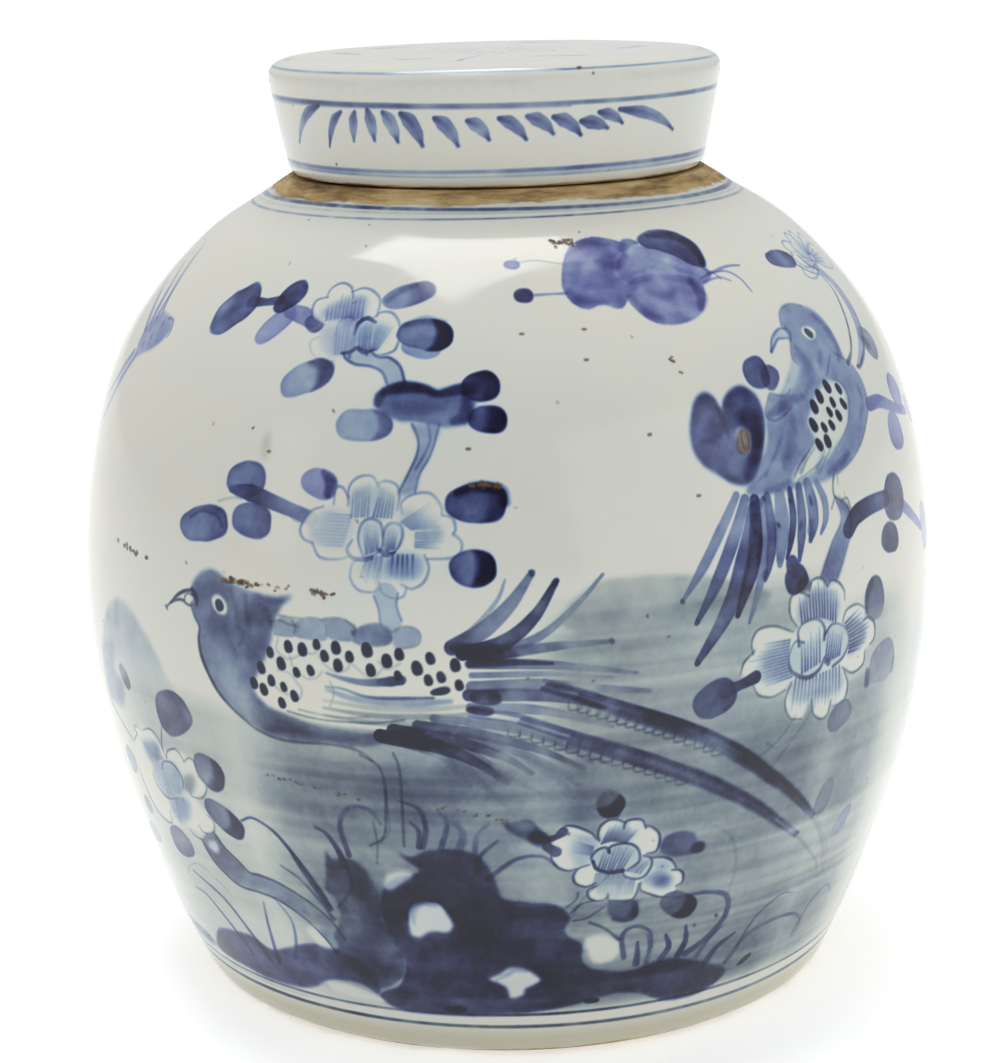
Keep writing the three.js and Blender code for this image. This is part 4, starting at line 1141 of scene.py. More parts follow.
    fan(c, [(37.8, 102.4), (41.4, 104.4)], [(37.6, 110.0), (41.2, 112.6)], 7, 1.2, 0.7)
    fan(c, [(42.0, 103.6), (45.0, 104.6)], [(42.4, 111.2), (45.4, 110.0)], 7, 1.4, 0.8)
    dots(c, [(42.6, 103.6)], 1.6, 1.5, 'dusk')
    oval(c, (36.8, 130.8), (37.8, 123.6), 7.6, [1.6, 2.6, 3.0], 'blue', rim=0.2)
    oval(c, (36.4, 133.2), (37.4, 127.4), 4.4, 2.2, 'blue', rim=0)
    oval(c, (38.4, 127.0), (38.6, 123.4), 4.4, 1.6, 'grey', rim=0, soft=0.8)
    oval(c, (22.0, 98.4), (27.8, 102.6), 9.4, [1.5, 1.7, 2.4], 'dusk', rim=0.25)
    line(c, [(26.4, 102.2), (28.6, 103.2), (30.7, 104.4)], [4.0, 2.6, 3.4], [2.2, 2.8, 3.2], 'dusk')
    oval(c, (52.3, 121.6), (52.9, 109.6), 9.8, [1.9, 1.6, 0.7], 'ash', rim=0.4)
    line(c, [(50.4, 113.4), (50.6, 117.0), (52.0, 120.4)], [1.2, 2.2, 1.4], 0.8, 'dusk', soft=0.8)
    oval(c, (55.2, 103.6), (55.0, 91.6), 15.0, [0.95, 0.85, 0.6], 'ash', rim=0.35)
    line(c, [(51.2, 97.0), (51.4, 93.6)], [1.6, 2.6], 1.0, 'dusk', soft=0.6)
    line(c, [(58.6, 97.0), (58.4, 93.4)], [1.0, 2.0], 0.5, 'ash', soft=0.6)
    oval(c, (45.0, 91.0), (46.6, 84.0), 10.4, [1.3, 1.2, 1.0], 'ash', rim=0.35)
    for points in (
            [(40.6, 92.6), (38.6, 88.0), (35.6, 82.0), (33.4, 77.0)],
            [(37.4, 91.6), (34.8, 86.0), (31.6, 82.4)],
            [(37.0, 86.0), (35.0, 84.0), (33.0, 86.0)]):
        line(c, points, 0.55, 0.55, 'grey')
    oval(c, (46.0, 70.4), (44.4, 60.6), 6.0, [0.9, 1.3], 'ash', rim=0.3)
    oval(c, (52.6, 59.0), (50.0, 51.4), 5.6, 0.75, 'lilac')
    line(c, [(44.4, 60.0), (46.4, 55.0), (49.4, 47.0), (50.4, 40.0)], 0.5, 0.45, 'grey')


def lower_blossoms(c):
    """The blossom low in the middle and the one low on the left."""
    blossom(c, ([(5.5, 69.7), (6.5, 71.2), (7.9, 70.7), (9.6, 68.8), (10.4, 66.9)],
                [(6.1, 69.0), (4.6, 68.1), (4.5, 66.5), (5.4, 64.1)],
                [(4.7, 63.9), (4.7, 61.9), (5.6, 59.4), (6.9, 58.4), (7.8, 58.8)],
                [(9.5, 59.7), (8.1, 58.8), (7.5, 56.6), (7.9, 54.4), (9.3, 53.3), (10.5, 54.2)],
                [(10.5, 53.3), (9.5, 52.1), (9.7, 49.9), (10.7, 48.8), (11.7, 48.9), (12.3, 49.9)],
                [(12.2, 50.6), (12.4, 48.7), (13.7, 48.1), (15.5, 47.9), (16.2, 49.8), (16.4, 52.5)],
                [(16.6, 52.7), (16.7, 50.6), (18.0, 49.0), (19.6, 47.6), (21.3, 47.3), (22.0, 48.8)],
                [(21.8, 50.1), (22.6, 51.0), (22.6, 53.4), (21.9, 54.9), (20.9, 55.2)],
                [(21.4, 55.9), (20.8, 57.8), (19.9, 59.1), (18.6, 59.7), (17.7, 59.7)],
                [(17.1, 61.1), (18.3, 61.5), (18.7, 64.0), (18.5, 66.6), (17.5, 68.6), (16.7, 69.1)],
                [(16.7, 68.5), (16.2, 70.8), (15.1, 71.4), (14.0, 70.9), (13.8, 69.2)],
                [(14.0, 70.6), (13.0, 71.7), (11.8, 71.9), (10.8, 70.4), (10.5, 68.3), (10.7, 66.3)]), 2.0,
                'steel')
    brushed(c, (([(16.9, 54.1), (18.6, 55.6), (20.8, 53.4), (20.8, 50.2), (18.9, 50.8), (17.1, 52.6)], 0.8,
                 'dusk'),
                ([(18.4, 53.7), (19.8, 53.8), (20.5, 52.1), (19.1, 51.0)], 0.8, 'dusk'),
                ([(6.9, 65.3), (8.5, 67.6), (10.5, 65.5), (9.8, 61.7), (8.1, 59.4)], 0.45, 'dusk'),
                ([(11.3, 66.5), (12.4, 69.3), (15.4, 67.5), (14.3, 65.2)], 0.3, 'steel'),
                ([(10.7, 56.3), (12.7, 56.4), (15.5, 53.9), (15.4, 49.2), (11.2, 50.2)], 0.3, 'steel'),
                ([(18.0, 59.1), (20.3, 57.7), (20.7, 55.5), (18.9, 55.6)], 0.5, 'dusk')),
            (([(10.9, 65.4), (12.4, 66.0), (14.3, 64.9)], [(11.8, 69.4), (13.5, 70.4), (15.8, 68.0)], 15,
              1.1, 0.55),
             ([(10.4, 56.9), (12.7, 56.4), (15.9, 54.1)], [(10.0, 52.6), (12.9, 49.8), (15.7, 49.7)], 16,
              1.0, 0.55),
             ([(9.9, 64.8), (9.8, 62.2)], [(7.3, 67.2), (7.1, 63.5)], 7, 0.9, 0.5)), 'steel')
    heart = [(10.0, 60.2), (9.8, 62.0), (10.6, 63.8), (11.6, 64.2), (12.5, 64.8), (13.9, 64.7),
             (15.5, 63.5), (16.2, 60.7), (17.5, 60.0), (17.9, 58.5), (17.5, 55.7), (15.9, 54.1),
             (14.0, 56.6), (11.9, 57.1), (10.5, 58.4)]
    c.fill(heart, 0.9, erase=True, soft=0.35)
    c.fill(heart, 0.45, 'steel', soft=0.4)
    for points in (
            [(10.0, 60.2), (9.8, 62.0), (10.6, 63.8), (11.6, 64.2), (12.1, 62.6)],
            [(12.0, 62.9), (12.2, 64.3), (13.4, 64.9), (14.8, 64.5), (15.8, 62.9), (16.2, 60.1),
             (15.8, 58.5), (14.6, 57.1)],
            [(13.9, 56.7), (14.5, 55.1), (15.9, 54.1), (17.0, 54.6), (17.7, 56.5), (17.9, 58.5),
             (17.5, 60.0), (16.7, 60.6)]):
        line(c, points, 0.75, [1.6, 2.0, 1.4], 'steel')
    line(c, [(10.0, 60.5), (10.5, 58.4), (11.9, 57.1), (13.3, 56.9), (14.0, 57.0)], [0.8, 1.1, 1.3], 2.6,
         'steel')
    fan(c, [(10.7, 58.9), (12.7, 57.6), (14.1, 57.5)], [(11.2, 63.1), (13.2, 64.0), (15.7, 62.9)], 9, 1.2,
        0.65, 'steel')
    fan(c, [(14.6, 56.8), (16.6, 55.6)], [(16.1, 59.6), (17.6, 58.6)], 5, 1.2, 0.6, 'steel')

    c.fill([(-1.2, 72.5), (0.3, 73.2), (2.1, 73.4), (3.0, 71.1), (4.3, 68.4), (4.1, 66.8), (2.7, 66.9),
            (0.5, 68.8), (-0.6, 70.5)], 2.5, 'steel', rim=0.2)
    oval(c, (-0.6, 72.4), (2.4, 71.2), 2.6, -0.9, 'steel', rim=0, soft=0.9)
    oval(c, (2.0, 69.4), (4.1, 66.7), 3.9, 1.4, 'blue', rim=0, soft=0.7)
    line(c, [(4.1, 67.6), (5.2, 68.3), (6.1, 69.6)], [2.2, 1.6, 2.6], 2.6, 'steel')
    line(c, [(4.0, 65.7), (5.2, 64.1)], [2.2, 3.0], 2.4, 'steel')
    oval(c, (10.9, 79.6), (12.9, 73.2), 7.0, 1.7, 'grey', 2.4, 'blue', (0.0, 0.4), rim=0.1)
    oval(c, (12.0, 74.6), (13.4, 74.2), 4.4, 1.6, 'blue', rim=0, soft=0.6)
    c.fill([(18.9, 61.4), (19.2, 64.7), (20.8, 66.1), (23.3, 65.3), (24.0, 62.7), (25.1, 61.5),
            (25.2, 59.7), (23.6, 58.9), (21.8, 58.7), (20.2, 59.5)], 1.8, 'dusk', rim=0.25)
    oval(c, (23.2, 60.7), (25.2, 60.4), 3.2, 1.4, 'dusk', rim=0, soft=0.6)
    c.fill([(12.3, 48.5), (14.2, 48.0), (16.2, 47.7), (16.6, 45.5), (16.5, 42.1), (14.8, 41.4),
            (13.2, 42.4), (12.4, 45.4)], 2.3, 'steel', rim=0.4)
    line(c, [(13.4, 42.8), (15.0, 42.2), (16.2, 44.0), (16.0, 47.0)], [1.0, 2.0, 1.4], 1.0, 'blue',
         soft=0.6)
    oval(c, (20.1, 47.2), (25.2, 41.4), 7.2, [1.7, 1.8, 2.2], 'ash', 2.2, 'blue', (0.1, 0.5), rim=0.2)
    for points in (
            [(6.8, 47.7), (8.0, 49.7), (8.2, 51.7)],
            [(7.4, 45.9), (8.8, 48.3), (10.3, 48.9)],
            [(7.7, 43.3), (9.6, 43.9), (11.8, 46.7)]):
        line(c, points, 0.6, 1.4, 'steel')
    dots(c, [(29.2, 38.2), (25.8, 36.6)], 0.9, 1.8)

    c.fill([(-59.5, 81.4), (-54.2, 84.2), (-51.7, 79.8), (-48.6, 81.4), (-44.5, 79.1), (-43.4, 72.1),
            (-46.0, 68.8), (-44.4, 64.4), (-43.5, 62.5), (-45.9, 57.8), (-49.8, 57.8), (-54.9, 56.7),
            (-59.6, 60.1), (-61.4, 69.4)], 0.8, erase=True, soft=0.5)
    for lobe in (
            [(-60.7, 77.3), (-58.8, 80.6), (-59.5, 81.4), (-58.6, 82.8), (-57.3, 82.6)],
            [(-56.7, 82.6), (-54.2, 84.2), (-52.4, 82.6), (-51.7, 79.8)],
            [(-50.7, 86.8), (-51.4, 83.1), (-51.7, 79.8), (-51.2, 77.6)],
            [(-51.2, 77.6), (-50.5, 79.9), (-48.6, 81.4), (-47.7, 80.5), (-47.0, 78.8)],
            [(-47.1, 78.5), (-45.6, 80.3), (-44.5, 79.1), (-44.7, 76.5)],
            [(-44.6, 75.7), (-43.4, 74.6), (-43.4, 72.1), (-44.8, 69.3), (-46.8, 68.7), (-47.2, 70.2)],
            [(-61.4, 69.4), (-60.9, 65.3), (-59.6, 60.1), (-57.8, 57.1), (-54.9, 56.7), (-54.2, 60.6)],
            [(-47.2, 60.1), (-46.4, 58.4), (-44.3, 59.4), (-43.5, 62.5), (-44.4, 64.4)],
            [(-49.8, 57.8), (-49.0, 56.2), (-46.9, 56.1), (-45.8, 58.5)],
            [(-53.2, 73.4), (-52.2, 76.0), (-49.9, 76.6), (-48.4, 73.3), (-48.8, 69.9)],
            [(-56.5, 70.4), (-55.7, 66.8), (-53.6, 64.8), (-50.4, 66.6)]):
        line(c, lobe, [0.5, 0.7, 0.5], [0.9, 1.2, 0.8], 'grey')
    brushed(c, (([(-57.3, 78.9), (-53.1, 80.6), (-53.3, 76.5), (-56.3, 74.3)], 0.7, 'dusk'),
                ([(-55.7, 73.5), (-49.4, 76.8), (-48.7, 69.4), (-54.1, 65.2)], 0.45, 'dusk'),
                ([(-47.9, 73.6), (-45.3, 75.4), (-46.3, 70.7), (-48.2, 69.7)], 1.1, 'grey'),
                ([(-53.2, 64.4), (-48.2, 67.1), (-49.0, 61.5), (-52.4, 58.4)], 0.6, 'dusk')),
            (([(-53.4, 65.5), (-49.3, 68.6)], [(-53.5, 72.1), (-48.9, 74.5)], 7, 0.8, 0.5),
             ([(-51.7, 65.3), (-49.1, 67.2)], [(-52.2, 59.2), (-49.0, 61.5)], 6, 0.8, 0.5),
             ([(-54.1, 75.5), (-51.9, 77.2)], [(-58.5, 79.4), (-52.9, 81.8)], 6, 0.8, 0.5)), 'grey')
    oval(c, (-48.9, 97.5), (-46.5, 86.4), 15.7, 1.7, 'ash', rim=0.4, drag=0.35)
    oval(c, (-44.6, 80.6), (-39.6, 75.8), 9.6, [1.4, 1.2, 2.0], 'ash', 1.2, 'violet', (0.1, 0.5), rim=0.4)
    oval(c, (-44.6, 68.4), (-37.8, 62.0), 7.8, [1.5, 1.3, 1.5], 'ash', 1.5, 'violet', (0.2, 0.5), rim=0.4)
    oval(c, (-54.4, 56.2), (-53.2, 47.6), 11.0, [1.2, 1.0, 1.6], 'ash', 0.6, 'violet', rim=0.3)
    oval(c, (-65.4, 73.0), (-62.6, 67.6), 7.4, 0.6, 'ash')
    oval(c, (-62.6, 60.6), (-61.6, 55.4), 5.4, 0.55, 'ash')
    oval(c, (-64.4, 51.6), (-63.8, 45.4), 8.0, 0.5, 'ash')
    oval(c, (-60.6, 99.0), (-58.0, 93.2), 4.6, 0.8, 'ash', 0.7, 'grey')
    c.fill([(-66.7, 102.6), (-62.2, 103.8), (-63.1, 96.4), (-60.4, 93.6), (-61.4, 87.5), (-64.8, 85.5),
            (-68.6, 85.2), (-68.4, 90.9), (-68.1, 96.8)],
           0.6, 'ash', soft=1.0)
    line(c, [(-67.7, 84.5), (-64.6, 81.4), (-61.2, 77.9)], 1.2, 0.6, 'ash')
    line(c, [(-55.5, 41.2), (-54.0, 44.2), (-50.8, 46.7), (-47.9, 44.7), (-45.3, 41.4)], 0.5, 0.6, 'grey')
    left = [(-47.5, 55.7), (-46.3, 50.4), (-44.0, 46.7), (-41.6, 44.6), (-37.9, 44.5), (-34.6, 43.4),
            (-31.0, 39.6), (-28.4, 34.4), (-27.0, 30.0)]
    right = [(-44.1, 59.6), (-42.7, 56.1), (-40.5, 52.8), (-38.9, 50.2), (-36.9, 50.2), (-33.6, 49.0),
             (-29.6, 45.4), (-26.6, 40.6), (-25.0, 35.0)]
    c.fill(left + right[::-1], 1.1, 'steel', soft=0.4, drag=0.4)
    c.fill([(-46.4, 55.4), (-44.4, 57.1), (-44.0, 54.9), (-44.6, 53.1), (-45.8, 53.4)], 0.85, erase=True,
           soft=0.5)
    for edge in (left, right):
        line(c, edge, [0.6, 0.9, 0.6], 1.7, 'grey')


def swallow(c):
    """A bird low in the sky at the far left, painted in thin violet."""
    c.fill([(-68.7, 177.5), (-70.0, 180.6), (-70.5, 184.1), (-68.7, 187.0), (-66.6, 189.0), (-62.5, 187.8),
            (-60.6, 185.5), (-62.4, 181.7), (-65.9, 179.1)], 0.75, 'lilac', soft=0.6, rim=0.3)
    for points, width in (
            ([(-67.6, 188.8), (-72.2, 197.1), (-76.0, 205.2)], 1.2),
            ([(-68.7, 187.4), (-70.4, 194.4), (-74.6, 203.6)], 1.8),
            ([(-69.8, 186.0), (-73.4, 194.0), (-77.4, 199.6)], 2.4),
            ([(-70.6, 184.0), (-75.0, 190.0), (-80.0, 195.0)], 2.2),
            ([(-68.7, 177.5), (-70.8, 172.0), (-73.3, 164.7), (-75.6, 159.2)], 2.4),
            ([(-70.4, 178.0), (-73.6, 170.6), (-77.0, 164.6)], 2.2)):
        line(c, points, [width, width, 0.4 * width], [0.75, 0.5, 0.4], 'lilac', rim=0.2)
    line(c, [(-63.4, 188.2), (-61.4, 187.8), (-60.2, 185.2), (-60.4, 184.0)], [1.0, 0.8, 0.5], 1.0, 'grey')
    dots(c, [(-64.4, 186.4), (-66.0, 183.0), (-67.6, 180.6), (-68.2, 184.6)], 1.2, 1.0, 'grey')


def washes(c):
    """The thin grey water wash under everything, laid round the jar in level strokes."""
    c.wash(13.0, 98.0, 0.36, 'grey', -66.0, -28.0, edge=6.0, fade=12.0)
    c.wash(13.0, 100.0, 0.66, 'grey', -36.0, 6.0, edge=3.0, fade=8.0)
    c.wash(13.0, 126.0, 0.66, 'grey', 3.0, 44.0, edge=9.0, fade=5.0)
    c.fill([(6.0, 124.0), (8.4, 130.4), (11.5, 133.4), (16.4, 133.6), (22.7, 132.4), (28.0, 129.5),
            (33.0, 125.0), (30.0, 120.0), (18.0, 119.6), (10.0, 120.0)], 0.5, 'grey', soft=0.6,
            fade=((18.0, 125.0), (18.0, 118.0)))
    c.wash(13.0, 116.0, 0.42, 'grey', 39.0, 64.0, edge=9.0, fade=9.0)
    c.wash(13.0, 92.0, 0.48, 'grey', -34.0, 60.0, edge=12.0, fade=10.0)
    c.wash(84.0, 120.0, 0.3, 'grey', -4.0, 22.0, edge=3.0, fade=8.0)
    c.wash(14.0, 106.0, 0.34, 'grey', 58.0, 292.0, edge=14.0, fade=12.0)
    c.fill([(-14.0, 92.0), (-4.0, 95.0), (6.0, 88.0), (12.0, 78.0), (8.0, 66.0), (0.0, 62.0), (-10.0, 66.0),
            (-16.0, 78.0)], 0.3, 'steel', soft=4.0,
           drag=0.5, combed=0.3)
    c.fill([(-34.0, 84.0), (-26.0, 88.0), (-18.0, 80.0), (-20.0, 66.0), (-28.0, 62.0), (-34.0, 70.0)], 0.12,
           'steel', soft=4.0, drag=0.5, combed=0.3)
    hill(c, -57.0, 117.0, 12.0, 0.6)


def hill(c, at, height, wide, tone):
    """A distant hill with a firm upper edge that melts away below."""
    ridge = [(at - wide, height - 26), (at - 0.7 * wide, height - 9), (at - 0.35 * wide, height - 1),
             (at, height), (at + 0.32 * wide, height - 4),
             (at + 0.7 * wide, height - 13), (at + wide, height - 27)]
    c.fill(ridge + [(at + 0.4 * wide, height - 29), (at - 0.4 * wide, height - 29)], tone, 'ash', soft=0.8,
           rim=0.2,
           fade=((at, height), (at, height - 28)))


def rocks(c):
    """The pierced rock in the middle and the ground to both sides of it."""
    c.fill([(-57.0, 17.8), (-53.4, 24.5), (-50.6, 26.5), (-43.8, 28.0), (-40.2, 25.5), (-36.0, 28.0),
            (-33.3, 30.2), (-29.5, 31.8), (-24.8, 30.2), (-21.4, 24.8), (-21.5, 18.1), (-24.3, 21.0),
            (-29.6, 20.4), (-33.8, 16.3), (-38.6, 14.6), (-44.6, 14.4), (-50.6, 15.2), (-56.0, 15.8)], 2.3,
            'slate', drag=0.2, rim=0.1, combed=0.12)
    c.fill([(-52.0, 23.0), (-44.0, 24.6), (-36.0, 22.0), (-28.0, 25.0), (-30.0, 21.8), (-38.0, 18.0),
            (-48.0, 18.6)], -0.5, 'slate', soft=1.6, drag=0.4)
    c.fill([(-90.0, 17.0), (-80.0, 22.0), (-70.0, 21.0), (-60.0, 19.6), (-58.0, 16.6), (-70.0, 15.6),
            (-82.0, 15.0)], 1.2, 'slate', soft=0.9, drag=0.4)
    c.fill([(-24.9, 62.2), (-24.1, 59.6), (-22.2, 60.6), (-20.2, 59.1), (-18.9, 55.0), (-18.2, 49.1),
            (-18.4, 43.0), (-16.8, 35.5), (-16.1, 30.8), (-17.5, 24.1), (-21.1, 20.5), (-24.0, 23.9),
            (-26.7, 28.0), (-27.1, 34.2), (-24.9, 41.3), (-24.9, 47.4), (-26.1, 50.1), (-25.4, 56.0)], 2.0,
            'steel', drag=0.3, rim=0.2, combed=0.12)
    mass = [(-15.0, 64.4), (-13.3, 62.6), (-10.6, 64.9), (-6.8, 65.2), (-4.3, 63.0), (-2.5, 56.6),
            (-1.7, 51.2), (1.9, 49.6), (5.2, 48.6), (7.3, 44.6), (6.6, 40.7), (7.6, 38.0), (9.1, 35.6),
            (9.3, 30.7), (10.4, 28.2), (12.4, 26.9), (16.7, 25.7), (22.0, 27.7), (27.3, 25.0), (33.4, 19.6),
            (33.0, 16.0), (29.3, 13.4), (23.6, 13.6), (18.9, 17.4), (15.5, 18.6), (12.5, 18.0), (7.9, 16.2),
            (1.8, 14.7), (-5.9, 13.8), (-10.6, 13.6), (-18.7, 14.0), (-21.5, 18.1), (-17.7, 22.3),
            (-16.1, 30.8), (-17.2, 35.5), (-18.4, 43.0), (-18.2, 49.1), (-16.3, 55.5), (-12.2, 58.5),
            (-14.0, 61.7)]
    c.fill(mass, 2.85, 'slate', soft=0.45, drag=0.12, rim=0.1, combed=0.12)
    for points, width, tone in (
            ([(-14.6, 33.6), (-10.0, 34.0), (-6.0, 37.0), (-5.0, 43.0), (-6.4, 49.0)],
             [3.0, 6.0, 7.0, 7.0, 4.0], 0.3),
            ([(1.0, 42.0), (4.6, 40.0), (4.0, 34.0)], [5.0, 8.0, 6.0], -0.5),
            ([(-9.0, 18.0), (-3.0, 17.2), (4.0, 18.0)], [3.0, 5.0, 3.0], -0.5),
            ([(-16.0, 22.0), (-12.0, 18.6), (-7.0, 16.6)], [4.0, 5.0, 3.0], -0.4),
            ([(14.0, 23.6), (21.0, 21.0), (28.0, 18.6)], [3.0, 5.0, 4.0], -0.35),
            ([(-21.0, 54.0), (-20.6, 44.0), (-21.4, 34.0), (-19.0, 26.0)], [3.0, 5.0, 6.0, 5.0], 0.35),
            ([(16.0, 25.0), (22.0, 25.6), (28.6, 22.4)], [2.0, 2.6, 2.0], 0.4)):
        line(c, points, width, tone, 'slate', soft=1.6, drag=0.5)
    for points, amount in (
            ([(-14.6, 44.6), (-14.0, 47.4), (-12.0, 49.4), (-10.0, 49.0), (-8.9, 45.6), (-8.4, 42.4),
              (-9.3, 40.3), (-11.8, 40.2), (-13.4, 38.2), (-14.8, 39.4)], 0.95),
            ([(-4.3, 26.0), (-2.6, 27.6), (-1.2, 29.6), (0.8, 29.4), (2.5, 27.5), (3.5, 25.2), (2.3, 23.4),
              (1.2, 22.4), (0.9, 20.4), (-0.5, 19.4), (-1.4, 19.8), (-1.6, 22.5), (-2.6, 24.2)], 0.95),
            ([(-16.6, 57.0), (-14.4, 58.4), (-13.0, 57.4), (-14.6, 54.6), (-16.6, 52.0), (-17.4, 53.4)],
             0.8),
            ([(9.6, 37.6), (12.6, 38.0), (14.6, 34.4), (14.0, 30.0), (11.2, 29.4), (10.0, 33.0)], 0.85),
            ([(-31.4, 36.0), (-29.0, 37.4), (-27.0, 35.0), (-26.6, 31.8), (-29.4, 31.0)], 0.8),
            ([(-30.4, 19.4), (-26.6, 20.0), (-22.6, 18.0), (-20.8, 15.8), (-25.0, 15.4), (-29.6, 16.6)],
             0.85)):
        c.fill(points, amount, erase=True, soft=0.5)
    for points in (
            [(-13.9, 42.6), (-13.7, 46.6), (-12.4, 48.6), (-10.6, 48.4)],
            [(-3.0, 25.6), (-1.4, 27.4), (-0.4, 28.6), (1.2, 28.2)]):
        line(c, points, [0.8, 1.6, 0.8], 0.5, 'dusk', soft=0.6)
    line(c, [(-14.9, 43.0), (-14.6, 47.2), (-13.0, 50.0), (-10.3, 49.8), (-9.0, 47.2), (-7.7, 43.4)], 0.7,
         1.3, 'ash')
    oval(c, (-11.2, 15.3), (-8.0, 15.6), 2.4, 3.6, 'grey', rim=0, drag=0)
    oval(c, (10.0, 17.0), (12.4, 17.2), 1.8, 3.4, 'grey', rim=0, drag=0)
    oval(c, (36.0, 19.0), (38.4, 21.6), 2.2, 3.4, 'grey', rim=0, drag=0)


def grasses(c):
    """Long bent blades of grass growing from the rock and the ground."""
    for points, width, tone in (
            ([(-37.8, 66.0), (-35.6, 67.6), (-32.4, 64.8), (-29.6, 58.0), (-27.2, 50.0), (-26.2, 45.0)],
             1.3, 1.9),
            ([(-30.4, 60.0), (-29.4, 56.0), (-27.4, 49.0), (-26.2, 44.4)], 1.9, 2.2),
            ([(-32.6, 55.0), (-30.0, 52.0), (-27.4, 46.0), (-26.0, 41.0)], 1.1, 1.3),
            ([(-55.0, 37.2), (-52.0, 36.4), (-48.0, 29.0), (-45.4, 21.6)], 1.1, 1.2),
            ([(-53.4, 43.2), (-47.4, 38.4), (-43.4, 29.0), (-41.2, 21.4)], 1.2, 1.3),
            ([(-38.0, 41.6), (-38.6, 35.0), (-39.0, 28.0), (-39.4, 21.6)], 1.2, 1.2),
            ([(-35.6, 44.0), (-33.6, 38.0), (-34.0, 31.0), (-35.4, 25.0)], 1.0, 1.0),
            ([(-16.6, 71.4), (-18.0, 75.2), (-20.6, 75.2), (-22.2, 70.0), (-21.6, 61.6)], 1.5, 1.6),
            ([(-25.8, 68.4), (-24.4, 67.0), (-23.0, 62.4), (-22.4, 57.0)], 1.8, 2.1),
            ([(-13.8, 78.2), (-11.6, 76.2), (-10.9, 71.0), (-11.5, 65.6)], 1.5, 1.8),
            ([(-12.8, 72.4), (-11.8, 70.0), (-12.0, 65.6)], 1.3, 1.6),
            ([(-9.2, 76.4), (-8.2, 72.0), (-9.2, 65.4)], 1.5, 1.6),
            ([(-8.2, 74.4), (-6.3, 70.0), (-7.0, 64.4)], 2.0, 1.3),
            ([(-3.0, 72.6), (-4.6, 69.0), (-5.0, 62.0)], 1.5, 1.5),
            ([(-2.0, 67.8), (-4.2, 63.6), (-4.8, 59.0)], 1.3, 1.5),
            ([(5.2, 60.2), (3.4, 63.0), (0.2, 62.4), (-3.4, 57.0)], 1.2, 1.3),
            ([(19.6, 32.0), (18.8, 37.4), (16.4, 39.6), (14.8, 37.0), (15.4, 30.0)], 1.3, 1.3),
            ([(17.2, 34.4), (17.4, 30.6), (17.4, 27.6)], 1.8, 2.0),
            ([(18.6, 36.4), (19.2, 32.0), (19.0, 27.4)], 1.4, 1.6),
            ([(21.4, 35.4), (22.2, 31.4), (21.2, 27.8)], 1.9, 2.2),
            ([(24.4, 37.0), (24.8, 32.4), (24.0, 28.0)], 1.9, 2.3),
            ([(21.6, 46.4), (26.6, 46.4), (30.2, 43.8), (30.8, 37.4), (28.2, 31.4), (25.2, 28.0)], 1.9,
             1.8),
            ([(33.4, 30.6), (30.6, 27.6), (29.2, 23.4)], 2.0, 2.1),
            ([(30.6, 34.0), (28.6, 30.6), (27.4, 26.4)], 1.5, 1.8),
            ([(48.2, 21.0), (48.8, 25.6), (46.0, 29.8), (41.0, 30.8), (36.2, 28.8), (33.2, 21.6)], 1.5,
             1.4),
            ([(44.0, 37.6), (41.0, 38.4), (37.0, 34.0), (34.6, 26.0)], 0.9, 1.0),
            ([(56.0, 30.6), (53.6, 34.0), (50.0, 31.0), (47.6, 22.4)], 1.0, 0.8)):
        blade(c, points, width, tone)
    for points, width, tone in (
            ([(-17.6, 71.6), (-17.4, 66.0), (-17.8, 60.0)], 0.6, 1.0),
            ([(-24.8, 45.0), (-22.0, 52.0), (-22.2, 58.0)], 0.6, 1.3),
            ([(12.4, 56.4), (9.0, 50.0), (7.6, 45.0)], 0.5, 0.8),
            ([(10.0, 42.4), (12.2, 40.0), (14.4, 36.0)], 0.9, 1.6),
            ([(26.4, 66.0), (29.4, 61.0), (30.8, 52.0), (30.4, 44.4)], 0.5, 0.5)):
        line(c, points, width, tone)


def rings(c):
    """Banding lines at the foot and round the shoulder."""
    ring(c, 13.6, 0.95, 1.6, 'grey')
    ring(c, 9.9, 1.15, 2.0, 'grey')
    ring(c, 12.4, 0.5, 0.5, 'grey', -120.0, -30.0)
    ring(c, 216.4, 1.35, 1.5, 'steel')
    ring(c, 214.4, 0.8, 0.9, 'steel')
    ring(c, 215.5, 0.9, 0.25, 'steel')


def bare_edge(c, height, above):
    """Leaves the clay bare above or below a wavering height, with a rusty line where the glaze ends."""
    waver = 0.35 * np.sin(3 * c.angles + 1) + 0.22 * np.sin(7 * c.angles) + 0.14 * np.sin(19 * c.angles + 2)
    waver = waver[None, :] + 0.25 * c.mottle
    past = c.ruler[:, None] - height - waver
    past = past if above else -past
    c.bare = np.maximum(c.bare, np.clip(0.5 + past / 0.5, 0, 1))
    patchy = np.clip(0.7 + 0.5 * c.pooling + 0.3 * c.mottle, 0, 1)
    c.iron = np.maximum(c.iron, 0.75 * np.exp(-((past - 0.1) / 0.3) ** 2) * patchy)


def seat(c):
    """The bare band that the lid's rim rests on, and the rusty foot edge."""
    bare_edge(c, 217.5, True)
    bare_edge(c, 1.0, False)


